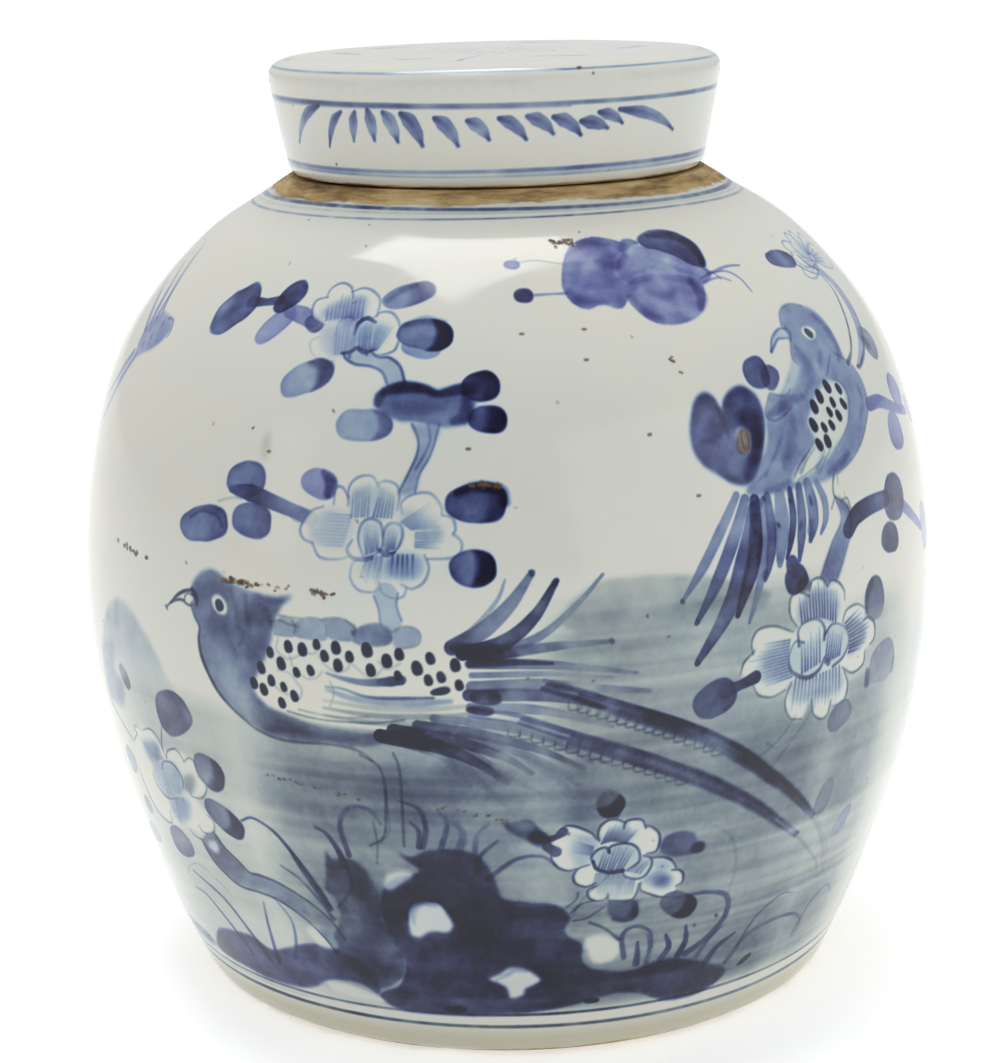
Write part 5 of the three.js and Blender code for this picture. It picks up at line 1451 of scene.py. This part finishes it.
def specks(c):
    """Iron specks and pits in the glaze, and the burnt patches over the long-tailed bird."""
    r = c.random
    for _ in range(150):
        angle, height = r.uniform(-180, 180), r.uniform(12, 214)
        size = r.uniform(0.35, 0.9) ** 1.5
        line(c, [(angle, height), (angle + r.uniform(-0.3, 0.3), height + r.uniform(-0.5, 0.5))], size,
             r.uniform(0.5, 1.0), 'iron', soft=0.22, drag=0)
    for start, end, count, size in (
            ((-60.2, 132.7), (-51.7, 131.2), 13, 0.8),
            ((-37.0, 130.6), (-31.6, 130.5), 22, 0.85),
            ((-30.8, 130.4), (-26.8, 131.0), 7, 0.5),
            ((-24.6, 130.9), (-21.4, 129.9), 12, 0.85),
            ((9.4, 209.4), (14.8, 209.2), 18, 0.8),
            ((-33.0, 81.6), (-18.6, 78.2), 18, 0.5),
            ((-8.6, 77.4), (-0.6, 73.0), 13, 0.5),
            ((-3.8, 156.9), (-1.0, 156.5), 10, 0.8),
            ((24.0, 183.0), (25.4, 178.0), 4, 0.6)):
        for _ in range(count):
            t = r.uniform(0, 1)
            angle = start[0] + t * (end[0] - start[0]) + r.normal(0, 0.25)
            height = start[1] + t * (end[1] - start[1]) + r.normal(0, 0.3)
            line(c, [(angle, height), (angle + r.uniform(-0.6, 0.6) * size,
                                       height + r.uniform(-0.5, 0.5) * size)], size * r.uniform(0.7, 1.5),
                 r.uniform(0.8, 1.2), 'iron', soft=0.25, drag=0)
    for angle, height in (
            (11.5, 183.8),
            (24.0, 151.0),
            (-31.5, 162.5),
            (-4.6, 165.0),
            (2.8, 190.0),
            (12.0, 190.4)):
        line(c, [(angle, height), (angle + 0.3, height)], 0.8, 0.9, 'iron', soft=0.3, drag=0)
    c.fill([(-32.2, 166.6), (-31.4, 166.0), (-31.2, 163.0), (-31.6, 160.6), (-32.4, 161.4), (-32.6, 164.2)],
           0.3, 'iron', soft=0.7)


def back(c):
    """The far side, painted with the same flowers, grasses and rock, the other way round."""
    c.turned, c.hand = 180.0, -1
    for motif in (flowering_branch, butterfly, rocks, lower_blossoms, grasses):
        motif(c)
    c.turned, c.hand = 0.0, 1


# ---------------------------------------------------------------------------
# The lid's picture. Here the second number of a place is measured along the outline.
# ---------------------------------------------------------------------------

def on_side(c, height):
    """Where the outline of the lid's side is this high."""
    lowest, highest = c.outline[:, 1].argmin(), c.outline[:, 1].argmax()
    return np.interp(height, c.outline[lowest:highest, 1], c.ruler[lowest:highest])


def on_top(c, radius):
    """Where the outline of the lid's top is this far from the axis."""
    widest = c.outline[:, 0].argmax()
    return np.interp(radius, c.outline[widest:, 0][::-1], c.ruler[widest:][::-1])


def lid_rings(c):
    """The lines round the lid's side and round its top."""
    c.cobalt += 0.05 * np.clip(c.drift + 0.6, 0, 2)
    c.grey += 0.05 * np.clip(c.drift + 0.6, 0, 2)
    ring(c, on_side(c, 242.2), 1.1, 1.25, 'steel')
    ring(c, on_side(c, 241.4), 0.6, 0.7, 'dusk', -120.0, 20.0)
    ring(c, on_side(c, 225.4), 1.0, 1.15, 'dusk')
    ring(c, on_side(c, 224.2), 0.6, 0.8, 'steel')
    ring(c, on_side(c, 224.8), 1.0, 0.35, 'steel', 0.0, 150.0)
    ring(c, on_top(c, 59.9), 0.75, 0.75, 'dusk')
    c.bare = np.maximum(c.bare,
                        np.clip((on_side(c, LID_RIM_HEIGHT + 0.9) - c.ruler[:, None] + 0.3 * c.mottle)
                                / 0.4, 0, 1))


def lid_leaves(c):
    """A spray of hanging comma leaves on the lid's side, and another behind."""
    leaves = (
        (-49.0, 241.6, -62.6, 231.2, 2.8),
        (-41.2, 240.2, -47.7, 231.0, 2.4),
        (-36.6, 240.3, -38.4, 232.8, 2.8),
        (-32.7, 241.0, -31.8, 233.2, 3.4),
        (-28.3, 240.3, -25.1, 233.0, 3.8),
        (-23.4, 240.0, -18.6, 232.0, 4.2),
        (-14.8, 238.9, -9.5, 232.0, 3.9),
        (-6.8, 238.2, -1.8, 233.4, 3.6),
        (0.8, 238.7, 7.3, 233.2, 3.4),
        (7.6, 239.0, 14.0, 234.4, 3.6),
        (14.0, 238.6, 21.1, 233.7, 3.6),
        (21.1, 237.2, 28.4, 235.0, 3.6),
        (25.7, 239.2, 32.6, 236.0, 3.0),
        (31.4, 239.6, 50.9, 233.0, 3.2))
    for turn in (180.0, 0.0):
        c.turned = turn
        for head, high, tail, low, width in leaves:
            start, end = on_side(c, high), on_side(c, low)
            lean = 0.12 * (tail - head)
            points = [(head, start), (head + 0.3 * (tail - head) + lean, start + 0.22 * (end - start)),
                      (head + 0.65 * (tail - head) + lean, start + 0.6 * (end - start)), (tail, end)]
            line(c, points, [0.35 * width, width, 0.8 * width, 0.14 * width], [1.2, 0.95, 0.85, 1.25],
                 'dusk', rim=0.35, drag=0.35)
            line(c, points[:3], [0.2 * width, 0.35 * width, 0.15 * width], [1.1, 0.6, 0.2], 'blue',
                 soft=0.6)
            line(c, points[2:], [0.1 * width, 0.3 * width], [0.2, 1.0], 'blue', soft=0.4)


def lid_flower(c):
    """A thin, faint flower on the lid's top, with its stem reaching towards the front."""
    def place(x, y):
        return (math.degrees(math.atan2(x, -y)), on_top(c, math.hypot(x, y)))

    for k in range(6):
        turn = math.radians(60 * k + 12)
        for opening, reach in ((0.42, 21.0), (0.2, 15.0)):
            petal_line = []
            for side, steps in ((-1, np.linspace(0.1, 1, 6)), (1, np.linspace(0.9, 0.1, 5))):
                for t in steps:
                    radius = 4 + (reach - 4) * t
                    bearing = turn + side * opening * math.sin(math.pi * t)
                    petal_line.append(place(radius * math.sin(bearing), radius * math.cos(bearing)))
            for a, b in zip(petal_line, petal_line[1:]):
                if abs(a[0] - b[0]) < 60:
                    line(c, [a, b], 0.7, 0.5, 'dusk')
    stalk = [place(x, y) for x, y in ((-3.0, -20.0), (-5.0, -30.0), (-8.0, -40.0), (-9.0, -48.0))]
    line(c, stalk, [0.8, 0.9, 1.2, 1.6], [0.5, 0.6, 0.8, 1.0], 'dusk')
    for x, y, x1, y1 in (
            (-16.0, -33.0, -26.0, -36.0),
            (8.0, -34.0, 24.0, -37.0),
            (33.0, -10.0, 41.0, 4.0),
            (-36.0, -8.0, -43.0, 6.0),
            (20.0, 32.0, 6.0, 38.0),
            (-22.0, 30.0, -34.0, 22.0)):
        oval(c, place(x, y), place(x1, y1), 4.2, 0.5, 'dusk', 0.4, drag=0.3)


def lid_specks(c):
    """Iron specks in the lid's glaze."""
    r = c.random
    for _ in range(26):
        angle, height = r.uniform(-180, 180), r.uniform(4, 60)
        line(c, [(angle, height), (angle + 0.2, height + 0.2)], r.uniform(0.35, 0.7), r.uniform(0.5, 1.0),
             'iron', soft=0.22, drag=0)
    line(c, [(20.6, on_top(c, 59.6)), (21.0, on_top(c, 59.4))], 1.2, 1.0, 'iron', soft=0.3, drag=0)


FRONT = [washes, flowering_branch, pheasant, pheasant_tail, butterfly, parrot, right_branch, rocks,
         lower_blossoms, grasses, swallow, back, rings, seat, specks]
LID = [lid_rings, lid_leaves, lid_flower, lid_specks]


# ---------------------------------------------------------------------------
# Turning a painted grid into a mesh
# ---------------------------------------------------------------------------

# How far the paint inside a mesh block may stray from what its corners say
PAINT_TOLERANCE = 0.035


def unevenness(angle, height):
    """How far the hand-thrown wall strays from a true circle, in mm."""
    return (0.22 * np.sin(2 * angle + 0.7) + 0.13 * np.sin(3 * angle - height / 37.0)
            + 0.08 * np.sin(height / 11.0 + np.sin(angle)) + 0.06 * np.sin(5 * angle + height / 23.0))


def surface(canvas, uneven):
    """Places and normals, in mm, of every grid point."""
    angle = canvas.angles[None, :]
    radius, height = canvas.outline[:, :1], canvas.outline[:, 1:]
    reach = radius + uneven * unevenness(angle, height) * np.clip(radius / 20.0, 0, 1)
    place = np.stack([reach * np.sin(angle), -reach * np.cos(angle), height + 0 * angle], axis=2)
    along = np.gradient(place, axis=0)
    wide = np.concatenate([place[:, -1:], place, place[:, :1]], axis=1)
    across = wide[:, 2:] - wide[:, :-2]
    normal = np.cross(across, along)
    normal /= np.linalg.norm(normal, axis=2, keepdims=True)
    return place, normal


def blocks(canvas, tolerance):
    """Splits the grid into square blocks, small where the paint changes: {size: (rows, columns)}."""
    seen = np.exp(-0.9 * canvas.cobalt)
    grey, violet = (1 - seen) * canvas.share(canvas.grey), (1 - seen) * canvas.share(canvas.violet)
    looks = np.stack([seen, grey, violet, canvas.iron, canvas.bare], axis=2).astype(np.float32)
    looks = np.concatenate([looks, looks[:, :1]], axis=1)
    found = {}
    open_blocks = np.ones(((canvas.rows - 1) // BLOCK, canvas.columns // BLOCK), bool)
    size = BLOCK
    while size > 1:
        tall, wide = (canvas.rows - 1) // size, canvas.columns // size
        corners = looks[::size, ::size]
        error = np.zeros((tall, wide), np.float32)
        for i in range(size + 1):
            low = corners[:-1] + (corners[1:] - corners[:-1]) * (i / size)
            for j in range(size + 1):
                guess = low[:, :-1] + (low[:, 1:] - low[:, :-1]) * (j / size)
                real = looks[i:i + (tall - 1) * size + 1:size, j:j + (wide - 1) * size + 1:size]
                error = np.maximum(error, abs(guess - real).max(axis=2))
        plain = open_blocks & (error < tolerance)
        r, c = np.nonzero(plain)
        found[size] = (r * size, c * size)
        open_blocks = np.repeat(np.repeat(open_blocks & ~plain, 2, axis=0), 2, axis=1)
        size //= 2
    found[1] = np.nonzero(open_blocks)
    return found


def faces_of(canvas, found):
    """Quads and triangles over all blocks, as grid point numbers, so that neighbours share every edge."""
    columns = canvas.columns
    corner = np.zeros((canvas.rows, columns), bool)
    for size, (r, c) in found.items():
        for i in (0, size):
            for j in (0, size):
                corner[r + i, (c + j) % columns] = True
    quads, triangles = [], []
    for size, (r, c) in found.items():
        if not len(r):
            continue
        i = np.arange(size)
        down = np.concatenate([0 * i, i, 0 * i + size, size - i])
        right = np.concatenate([i, 0 * i + size, size - i, 0 * i])
        rim_r, rim_c = r[:, None] + down, (c[:, None] + right) % columns
        marked = corner[rim_r, rim_c]
        rim = rim_r * columns + rim_c
        plain = marked.sum(axis=1) == 4
        quads.append(rim[plain][:, ::size])
        block, place = np.nonzero(marked & ~plain[:, None])
        if len(block):
            first = np.searchsorted(block, block)
            following = np.roll(np.arange(len(block)), -1)
            last = np.roll(block, -1) != block
            following[last] = first[last]
            middle = (r[block] + size // 2) * columns + (c[block] + size // 2) % columns
            triangles.append(np.stack([middle, rim[block, place], rim[block[following], place[following]]],
                                      axis=1))
    quads = np.vstack(quads)
    triangles = np.vstack(triangles) if triangles else np.zeros((0, 3), int)
    return quads, triangles, corner


def skin(name, canvas, material, body, nodes, low_row=0, high_row=None, cap=None):
    """Makes one piece from rows of a canvas. cap closes the small ring at its start or at its end."""
    high_row = canvas.rows - 1 if high_row is None else high_row
    quads, triangles, corner = canvas.faces
    row_of = (quads // canvas.columns).min(axis=1)
    quads = quads[(row_of >= low_row) & (row_of < high_row)]
    row_of = triangles[:, 0] // canvas.columns
    triangles = triangles[(row_of >= low_row) & (row_of < high_row)]
    rings = []
    if cap is not None:
        row = 0 if cap == "start" else canvas.rows - 1
        ring_columns = np.flatnonzero(corner[row])
        rings = [row * canvas.columns + (ring_columns[::-1] if cap == "start" else ring_columns)]
    used = np.unique(np.concatenate([quads.ravel(), triangles.ravel()]))
    number = np.full(canvas.rows * canvas.columns, -1)
    number[used] = np.arange(len(used))
    corners = np.concatenate([number[quads].ravel(), number[triangles].ravel()] + [number[ring]
            for ring in rings])
    sizes = np.concatenate([np.full(len(quads), 4), np.full(len(triangles), 3),
                            [len(ring) for ring in rings]]).astype(int)
    mesh = bpy.data.meshes.new(name)
    mesh.vertices.add(len(used))
    place, normal = canvas.surface
    mesh.vertices.foreach_set("co", (place.reshape(-1, 3)[used] * MM).astype(np.float32).ravel())
    mesh.loops.add(len(corners))
    mesh.loops.foreach_set("vertex_index", corners.astype(np.int32))
    mesh.polygons.add(len(sizes))
    mesh.polygons.foreach_set("loop_start", np.concatenate([[0], np.cumsum(sizes)[:-1]]).astype(np.int32))
    mesh.update(calc_edges=True)
    mesh.shade_smooth()
    mesh.normals_split_custom_set_from_vertices(normal.reshape(-1, 3)[used])
    layers = {"cobalt": canvas.cobalt, "grey": canvas.share(canvas.grey),
              "violet": canvas.share(canvas.violet), "iron": canvas.iron, "bare": canvas.bare}
    for layer, values in layers.items():
        attribute = mesh.attributes.new(layer, "FLOAT", "POINT")
        attribute.data.foreach_set("value", values.ravel()[used].astype(np.float32))
    mesh.materials.append(material)
    piece = bpy.data.objects.new(name, mesh)
    bpy.context.scene.collection.objects.link(piece)
    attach(piece, body)
    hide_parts(*nodes)
    return piece


def prepared(canvas, uneven=1.0):
    """Works out a finished canvas's surface and faces once, for all the pieces cut from it."""
    canvas.surface = surface(canvas, uneven)
    canvas.faces = faces_of(canvas, blocks(canvas, PAINT_TOLERANCE))
    return canvas


# ---------------------------------------------------------------------------
# Materials
# ---------------------------------------------------------------------------
# The thickest layer of pigment that the colours are worked out for, and how rich the painter mixed it
DEEPEST = 4.8
RICHNESS = 1.24

GREENISH_GLAZE = (0.585, 0.600, 0.550, 1)
CREAMY_GLAZE = (0.625, 0.608, 0.532, 1)
STREAK_GLAZE = (0.56, 0.585, 0.56, 1)
FOOT_GLAZE = (0.47, 0.45, 0.33, 1)
DARK_RUST = (0.022, 0.012, 0.007, 1)
LIGHT_RUST = (0.15, 0.078, 0.030, 1)
CLAY = [(0.0, (0.10, 0.052, 0.017)), (0.35, (0.30, 0.185, 0.068)), (0.62, (0.50, 0.355, 0.155)),
        (1.0, (0.62, 0.50, 0.28))]

# How strongly each pigment swallows red, green and blue light: strength and how it grows with thickness
PIGMENTS = {
    "blue": ((1.36, 0.84), (0.92, 1.17), (0.27, 1.66)),
    "grey": ((0.86, 1.12), (0.68, 1.22), (0.575, 1.12)),
    "violet": ((0.98, 1.0), (1.0, 1.12), (0.11, 2.3)),
}


def seen_through(pigment, thickness):
    """The colour of white light that has passed through the pigment."""
    return [math.exp(-strength * thickness ** growth) for strength, growth in PIGMENTS[pigment]]


class Nodes:
    """Short ways to add nodes to a material."""

    def __init__(self, material):
        material.use_nodes = True
        self.tree = material.node_tree
        self.tree.nodes.clear()

    def add(self, kind, inputs=(), **settings):
        node = self.tree.nodes.new(kind)
        for key, value in settings.items():
            setattr(node, key, value)
        for key, value in dict(inputs).items():
            self.put(node.inputs[key], value)
        return node

    def put(self, socket, value):
        if isinstance(value, bpy.types.NodeSocket):
            self.tree.links.new(value, socket)
        else:
            socket.default_value = value

    def math(self, operation, first, second=0.0, clamp=False):
        return self.add("ShaderNodeMath", {0: first, 1: second}, operation=operation,
                        use_clamp=clamp).outputs[0]

    def mix(self, share, first, second, blend="MIX"):
        node = self.add("ShaderNodeMix", data_type="RGBA", blend_type=blend)
        self.put(node.inputs["Factor"], share)
        self.put(node.inputs[6], first)
        self.put(node.inputs[7], second)
        return node.outputs[2]

    def noise(self, place, scale, detail, roughness):
        return self.add("ShaderNodeTexNoise", {"Vector": place, "Scale": scale, "Detail": detail,
                                               "Roughness": roughness}).outputs[0]

    def span(self, value, low, high, to_low=0.0, to_high=1.0):
        sockets = {0: value, 1: low, 2: high, 3: to_low, 4: to_high}
        return self.add("ShaderNodeMapRange", sockets, clamp=True).outputs[0]

    def ramp(self, value, stops):
        node = self.add("ShaderNodeValToRGB", {0: value})
        elements = node.color_ramp.elements
        while len(elements) < len(stops):
            elements.new(0.5)
        for element, (position, colour) in zip(elements, stops):
            element.position = position
            element.color = (*colour, 1.0)
        return node.outputs[0]

    def bump(self, distance, height, normal=None, strength=1.0):
        sockets = {"Strength": strength, "Distance": distance, "Height": height}
        if normal is not None:
            sockets["Normal"] = normal
        return self.add("ShaderNodeBump", sockets).outputs[0]

    def attribute(self, name):
        return self.add("ShaderNodeAttribute", attribute_name=name,
                        attribute_type="GEOMETRY").outputs["Fac"]


def porcelain(name):
    """Painted and glazed porcelain, with bare clay and iron stains where the grid says so."""
    material = bpy.data.materials.new(name)
    n = Nodes(material)
    place = n.add("ShaderNodeTexCoord").outputs["Object"]
    height = n.add("ShaderNodeSeparateXYZ", {0: place}).outputs[2]
    cobalt, grey, violet = n.attribute("cobalt"), n.attribute("grey"), n.attribute("violet")
    iron, bare = n.attribute("iron"), n.attribute("bare")

    # pigment, clouded at two sizes as it sank into the glaze
    cloud = n.noise(place, 95.0, 4.0, 0.6)
    fine = n.noise(place, 520.0, 3.0, 0.6)
    clouded = n.math("ADD", n.span(cloud, 0.3, 0.7, 0.86, 1.14), n.span(fine, 0.3, 0.7, -0.07, 0.07))
    thickness = n.math("DIVIDE", n.math("MULTIPLY", cobalt, clouded), DEEPEST / RICHNESS, clamp=True)
    stops = [0.0, 0.08, 0.18, 0.30, 0.44, 0.60, 0.80, 1.0]
    shades = {}
    for pigment in PIGMENTS:
        shades[pigment] = n.ramp(thickness, [(stop, seen_through(pigment, stop * DEEPEST))
                                             for stop in stops])
    paint = n.mix(violet, n.mix(grey, shades["blue"], shades["grey"]), shades["violet"])

    # glaze, a little greener or creamier in places
    tint = n.noise(place, 16.0, 3.0, 0.55)
    streaks = n.noise(n.add("ShaderNodeMapping", {0: place, 3: (22.0, 22.0, 90.0)}).outputs[0], 1.0, 3.0,
                      0.6)
    glaze = n.mix(n.span(tint, 0.35, 0.65), GREENISH_GLAZE, CREAMY_GLAZE)
    glaze = n.mix(n.span(streaks, 0.3, 0.7, 0.0, 0.35), glaze, STREAK_GLAZE)
    cream = n.span(height, 0.006, 0.0105, 0.85, 0.0)
    glaze = n.mix(cream, glaze, FOOT_GLAZE)
    painted = n.mix(1.0, glaze, paint, "MULTIPLY")

    # iron stains and pinholes
    stain_cloud = n.noise(place, 700.0, 3.0, 0.6)
    rust = n.mix(n.span(stain_cloud, 0.3, 0.7), DARK_RUST, LIGHT_RUST)
    stained = n.mix(iron, painted, rust)

    # bare clay, burnt brown where it met the flame
    burn = n.noise(n.add("ShaderNodeMapping", {0: place, 3: (60.0, 60.0, 420.0)}).outputs[0], 1.0, 5.0,
                   0.65)
    clay = n.ramp(n.span(burn, 0.28, 0.72), CLAY)
    colour = n.mix(bare, stained, clay)

    # surface
    sweep = n.noise(place, 34.0, 2.0, 0.5)
    peel = n.noise(place, 420.0, 2.0, 0.5)
    grit = n.noise(place, 1500.0, 4.0, 0.7)
    smudge = n.noise(place, 60.0, 4.0, 0.6)
    gloss = n.span(smudge, 0.3, 0.7, 0.07, 0.15)
    glazed = n.math("MULTIPLY", gloss, n.math("SUBTRACT", 1.0, bare))
    roughness = n.math("ADD", glazed, n.math("MULTIPLY", bare, 0.72))
    roughness = n.math("ADD", roughness, n.math("MULTIPLY", iron, 0.25))
    slow = n.bump(0.00022, sweep)
    skin_height = n.math("ADD", n.math("MULTIPLY", peel, 0.16), n.math("MULTIPLY", iron, -0.8))
    skin_bump = n.bump(0.00006, skin_height, slow)
    clay_height = n.math("MULTIPLY", n.math("ADD", grit, n.math("MULTIPLY", burn, 2.0)), bare)
    bump = n.bump(0.00022, clay_height, skin_bump)
    shader = n.add("ShaderNodeBsdfPrincipled", {
        "Base Color": colour, "Roughness": roughness, "Normal": bump, "IOR": 1.5,
        "Specular IOR Level": 0.36})
    n.add("ShaderNodeOutputMaterial", {0: shader.outputs[0]})
    return material


jar_glaze = porcelain("jar_glaze_painted")
lid_glaze = porcelain("lid_glaze_painted")


# ---------------------------------------------------------------------------
# The pieces
# ---------------------------------------------------------------------------
# The lid strays from a true circle by this share of what the jar does
LID_UNEVEN = 0.6

wall = Canvas(wall_outline, 2880, 7)
for motif in FRONT:
    motif(wall)
prepared(wall)
band = wall.rows // 4 // BLOCK * BLOCK
edges = [0, band, 2 * band, 3 * band, wall.rows - 1]
for part, low_row, high_row in zip(("foot", "belly", "upper", "shoulder"), edges, edges[1:]):
    skin(f"jar_wall_{part}_band", wall, jar_glaze, "jar", ["jar_body"], low_row, high_row)

underside = prepared(Canvas(underside_outline, 720, 11))
skin("jar_foot_and_base", underside, jar_glaze, "jar", ["jar_body"], cap="start")
neck = Canvas(neck_outline, 720, 12)
neck.bare[:] = 1.0
skin("jar_neck_and_seat", prepared(neck), jar_glaze, "jar", ["jar_body"])
inside = prepared(Canvas(inside_outline, 720, 13))
skin("jar_inside_glaze", inside, jar_glaze, "jar", ["jar_body"], cap="end")

cap_top = Canvas(lid_outline, 1440, 8, by_length=True)
for motif in LID:
    motif(cap_top)
prepared(cap_top, LID_UNEVEN)
skin("lid_cap", cap_top, lid_glaze, "lid", ["lid"], cap="end")
cap_inside = prepared(Canvas(lid_inside_outline, 720, 14, by_length=True), LID_UNEVEN)
skin("lid_inside_and_rim", cap_inside, lid_glaze, "lid", ["lid"], cap="start")


# ---------------------------------------------------------------------------
# Floor, light and camera
# ---------------------------------------------------------------------------
# The camera stands before the painted front, a little above the lid, and looks down on the jar
CAMERA_PLACE = (0.0, -2.8174 * TOTAL_HEIGHT * MM, 1.1457 * TOTAL_HEIGHT * MM)
CAMERA_PITCH = math.radians(13.506)
CAMERA_YAW = math.radians(-0.1408)
CAMERA_ROLL = math.radians(-1.4655)
LENS_PER_LONG_SIDE = 2588.3 / 1063.0
SENSOR = 36.0

# The white paper is lit from behind a little, so that it stays white when the jar is not overexposed
PAPER_GLOW = 0.49
PAPER_REACH = 40.0

# The room is darker behind the camera than on the other sides
ROOM_LIGHT = 0.65
ROOM_LIGHT_AT_CAMERA = 0.26
TOWARDS_CAMERA = (0.0, -0.97, 0.24)

# Each lamp: the way from the jar towards it, its distance, its width and height in metres, its radiance
LAMPS = {
    "overhead": ((-0.08, 0.15, 1.0), 1.6, 0.95, 0.95, 5.8),
    "right_window": ((0.66, -0.74, 0.28), 1.9, 1.7, 1.1, 0.95),
    "left_fill": ((-0.85, -0.45, 0.25), 2.2, 0.5, 1.0, 0.75),
}


def studio_floor():
    """A wide sheet of white paper."""
    mesh = bpy.data.meshes.new("floor")
    turn = np.linspace(0, 2 * math.pi, 96, endpoint=False)
    corners = [(PAPER_REACH * math.cos(a), PAPER_REACH * math.sin(a), 0.0) for a in turn]
    mesh.from_pydata(corners, [], [list(range(len(turn)))])
    floor = bpy.data.objects.new("floor", mesh)
    bpy.context.scene.collection.objects.link(floor)
    material = bpy.data.materials.new("floor_paper")
    n = Nodes(material)
    place = n.add("ShaderNodeTexCoord").outputs["Object"]
    cloud = n.noise(place, 1.2, 3.0, 0.5)
    colour = n.mix(cloud, (0.82, 0.82, 0.82, 1), (0.86, 0.86, 0.86, 1))
    grain = n.bump(0.0002, n.noise(place, 900.0, 3.0, 0.6), strength=0.3)
    shader = n.add("ShaderNodeBsdfPrincipled", {
        "Base Color": colour, "Roughness": n.span(cloud, 0.3, 0.7, 0.75, 0.85), "Normal": grain,
        "Emission Color": (1.0, 1.0, 1.0, 1.0), "Emission Strength": PAPER_GLOW})
    n.add("ShaderNodeOutputMaterial", {0: shader.outputs[0]})
    mesh.materials.append(material)


def softbox(name, towards, distance, wide, tall, radiance):
    """A rectangular lamp that faces the jar's middle from a distance, as bright as the radiance."""
    data = bpy.data.lights.new(name, "AREA")
    data.shape = "RECTANGLE"
    data.size, data.size_y = wide, tall
    data.energy = radiance * math.pi * wide * tall
    lamp = bpy.data.objects.new(name, data)
    middle = Vector((0, 0, 0.6 * TOTAL_HEIGHT * MM))
    direction = Vector(towards).normalized()
    lamp.location = middle + direction * distance
    lamp.rotation_mode = "QUATERNION"
    lamp.rotation_quaternion = direction.to_track_quat("Z", "Y")
    bpy.context.scene.collection.objects.link(lamp)


def studio_light():
    """A pale room and three soft lamps."""
    world = bpy.data.worlds.new("studio")
    bpy.context.scene.world = world
    world.use_nodes = True
    n = Nodes(world)
    direction = n.add("ShaderNodeTexCoord").outputs["Generated"]
    product = n.add("ShaderNodeVectorMath", {0: direction, 1: TOWARDS_CAMERA}, operation="DOT_PRODUCT")
    strength = n.span(product.outputs["Value"], 0.55, 0.92, ROOM_LIGHT, ROOM_LIGHT_AT_CAMERA)
    background = n.add("ShaderNodeBackground", {"Color": (1.0, 1.0, 1.0, 1.0), "Strength": strength})
    n.add("ShaderNodeOutputWorld", {0: background.outputs[0]})
    for name, lamp in LAMPS.items():
        softbox(name, *lamp)


def studio_camera():
    """The camera, turned by its pitch, roll and yaw."""
    cp, sp = math.cos(CAMERA_PITCH), math.sin(CAMERA_PITCH)
    cr, sr = math.cos(CAMERA_ROLL), math.sin(CAMERA_ROLL)
    forward = Vector((0, cp, -sp))
    right = Vector((cr, sp * sr, cp * sr))
    up = Vector((-sr, sp * cr, cp * cr))
    turn = Matrix.Rotation(-CAMERA_YAW, 3, "Z")
    right, up, forward = turn @ right, turn @ up, turn @ forward
    data = bpy.data.cameras.new("camera")
    data.sensor_width = SENSOR
    data.lens = SENSOR * LENS_PER_LONG_SIDE
    data.clip_start, data.clip_end = 0.01, 100.0
    camera = bpy.data.objects.new("camera", data)
    turned = Matrix((right, up, -forward)).transposed().to_4x4()
    camera.matrix_world = Matrix.Translation(CAMERA_PLACE) @ turned
    bpy.context.scene.collection.objects.link(camera)
    bpy.context.scene.camera = camera


studio_floor()
studio_light()
studio_camera()
bpy.context.scene.view_settings.view_transform = "Standard"
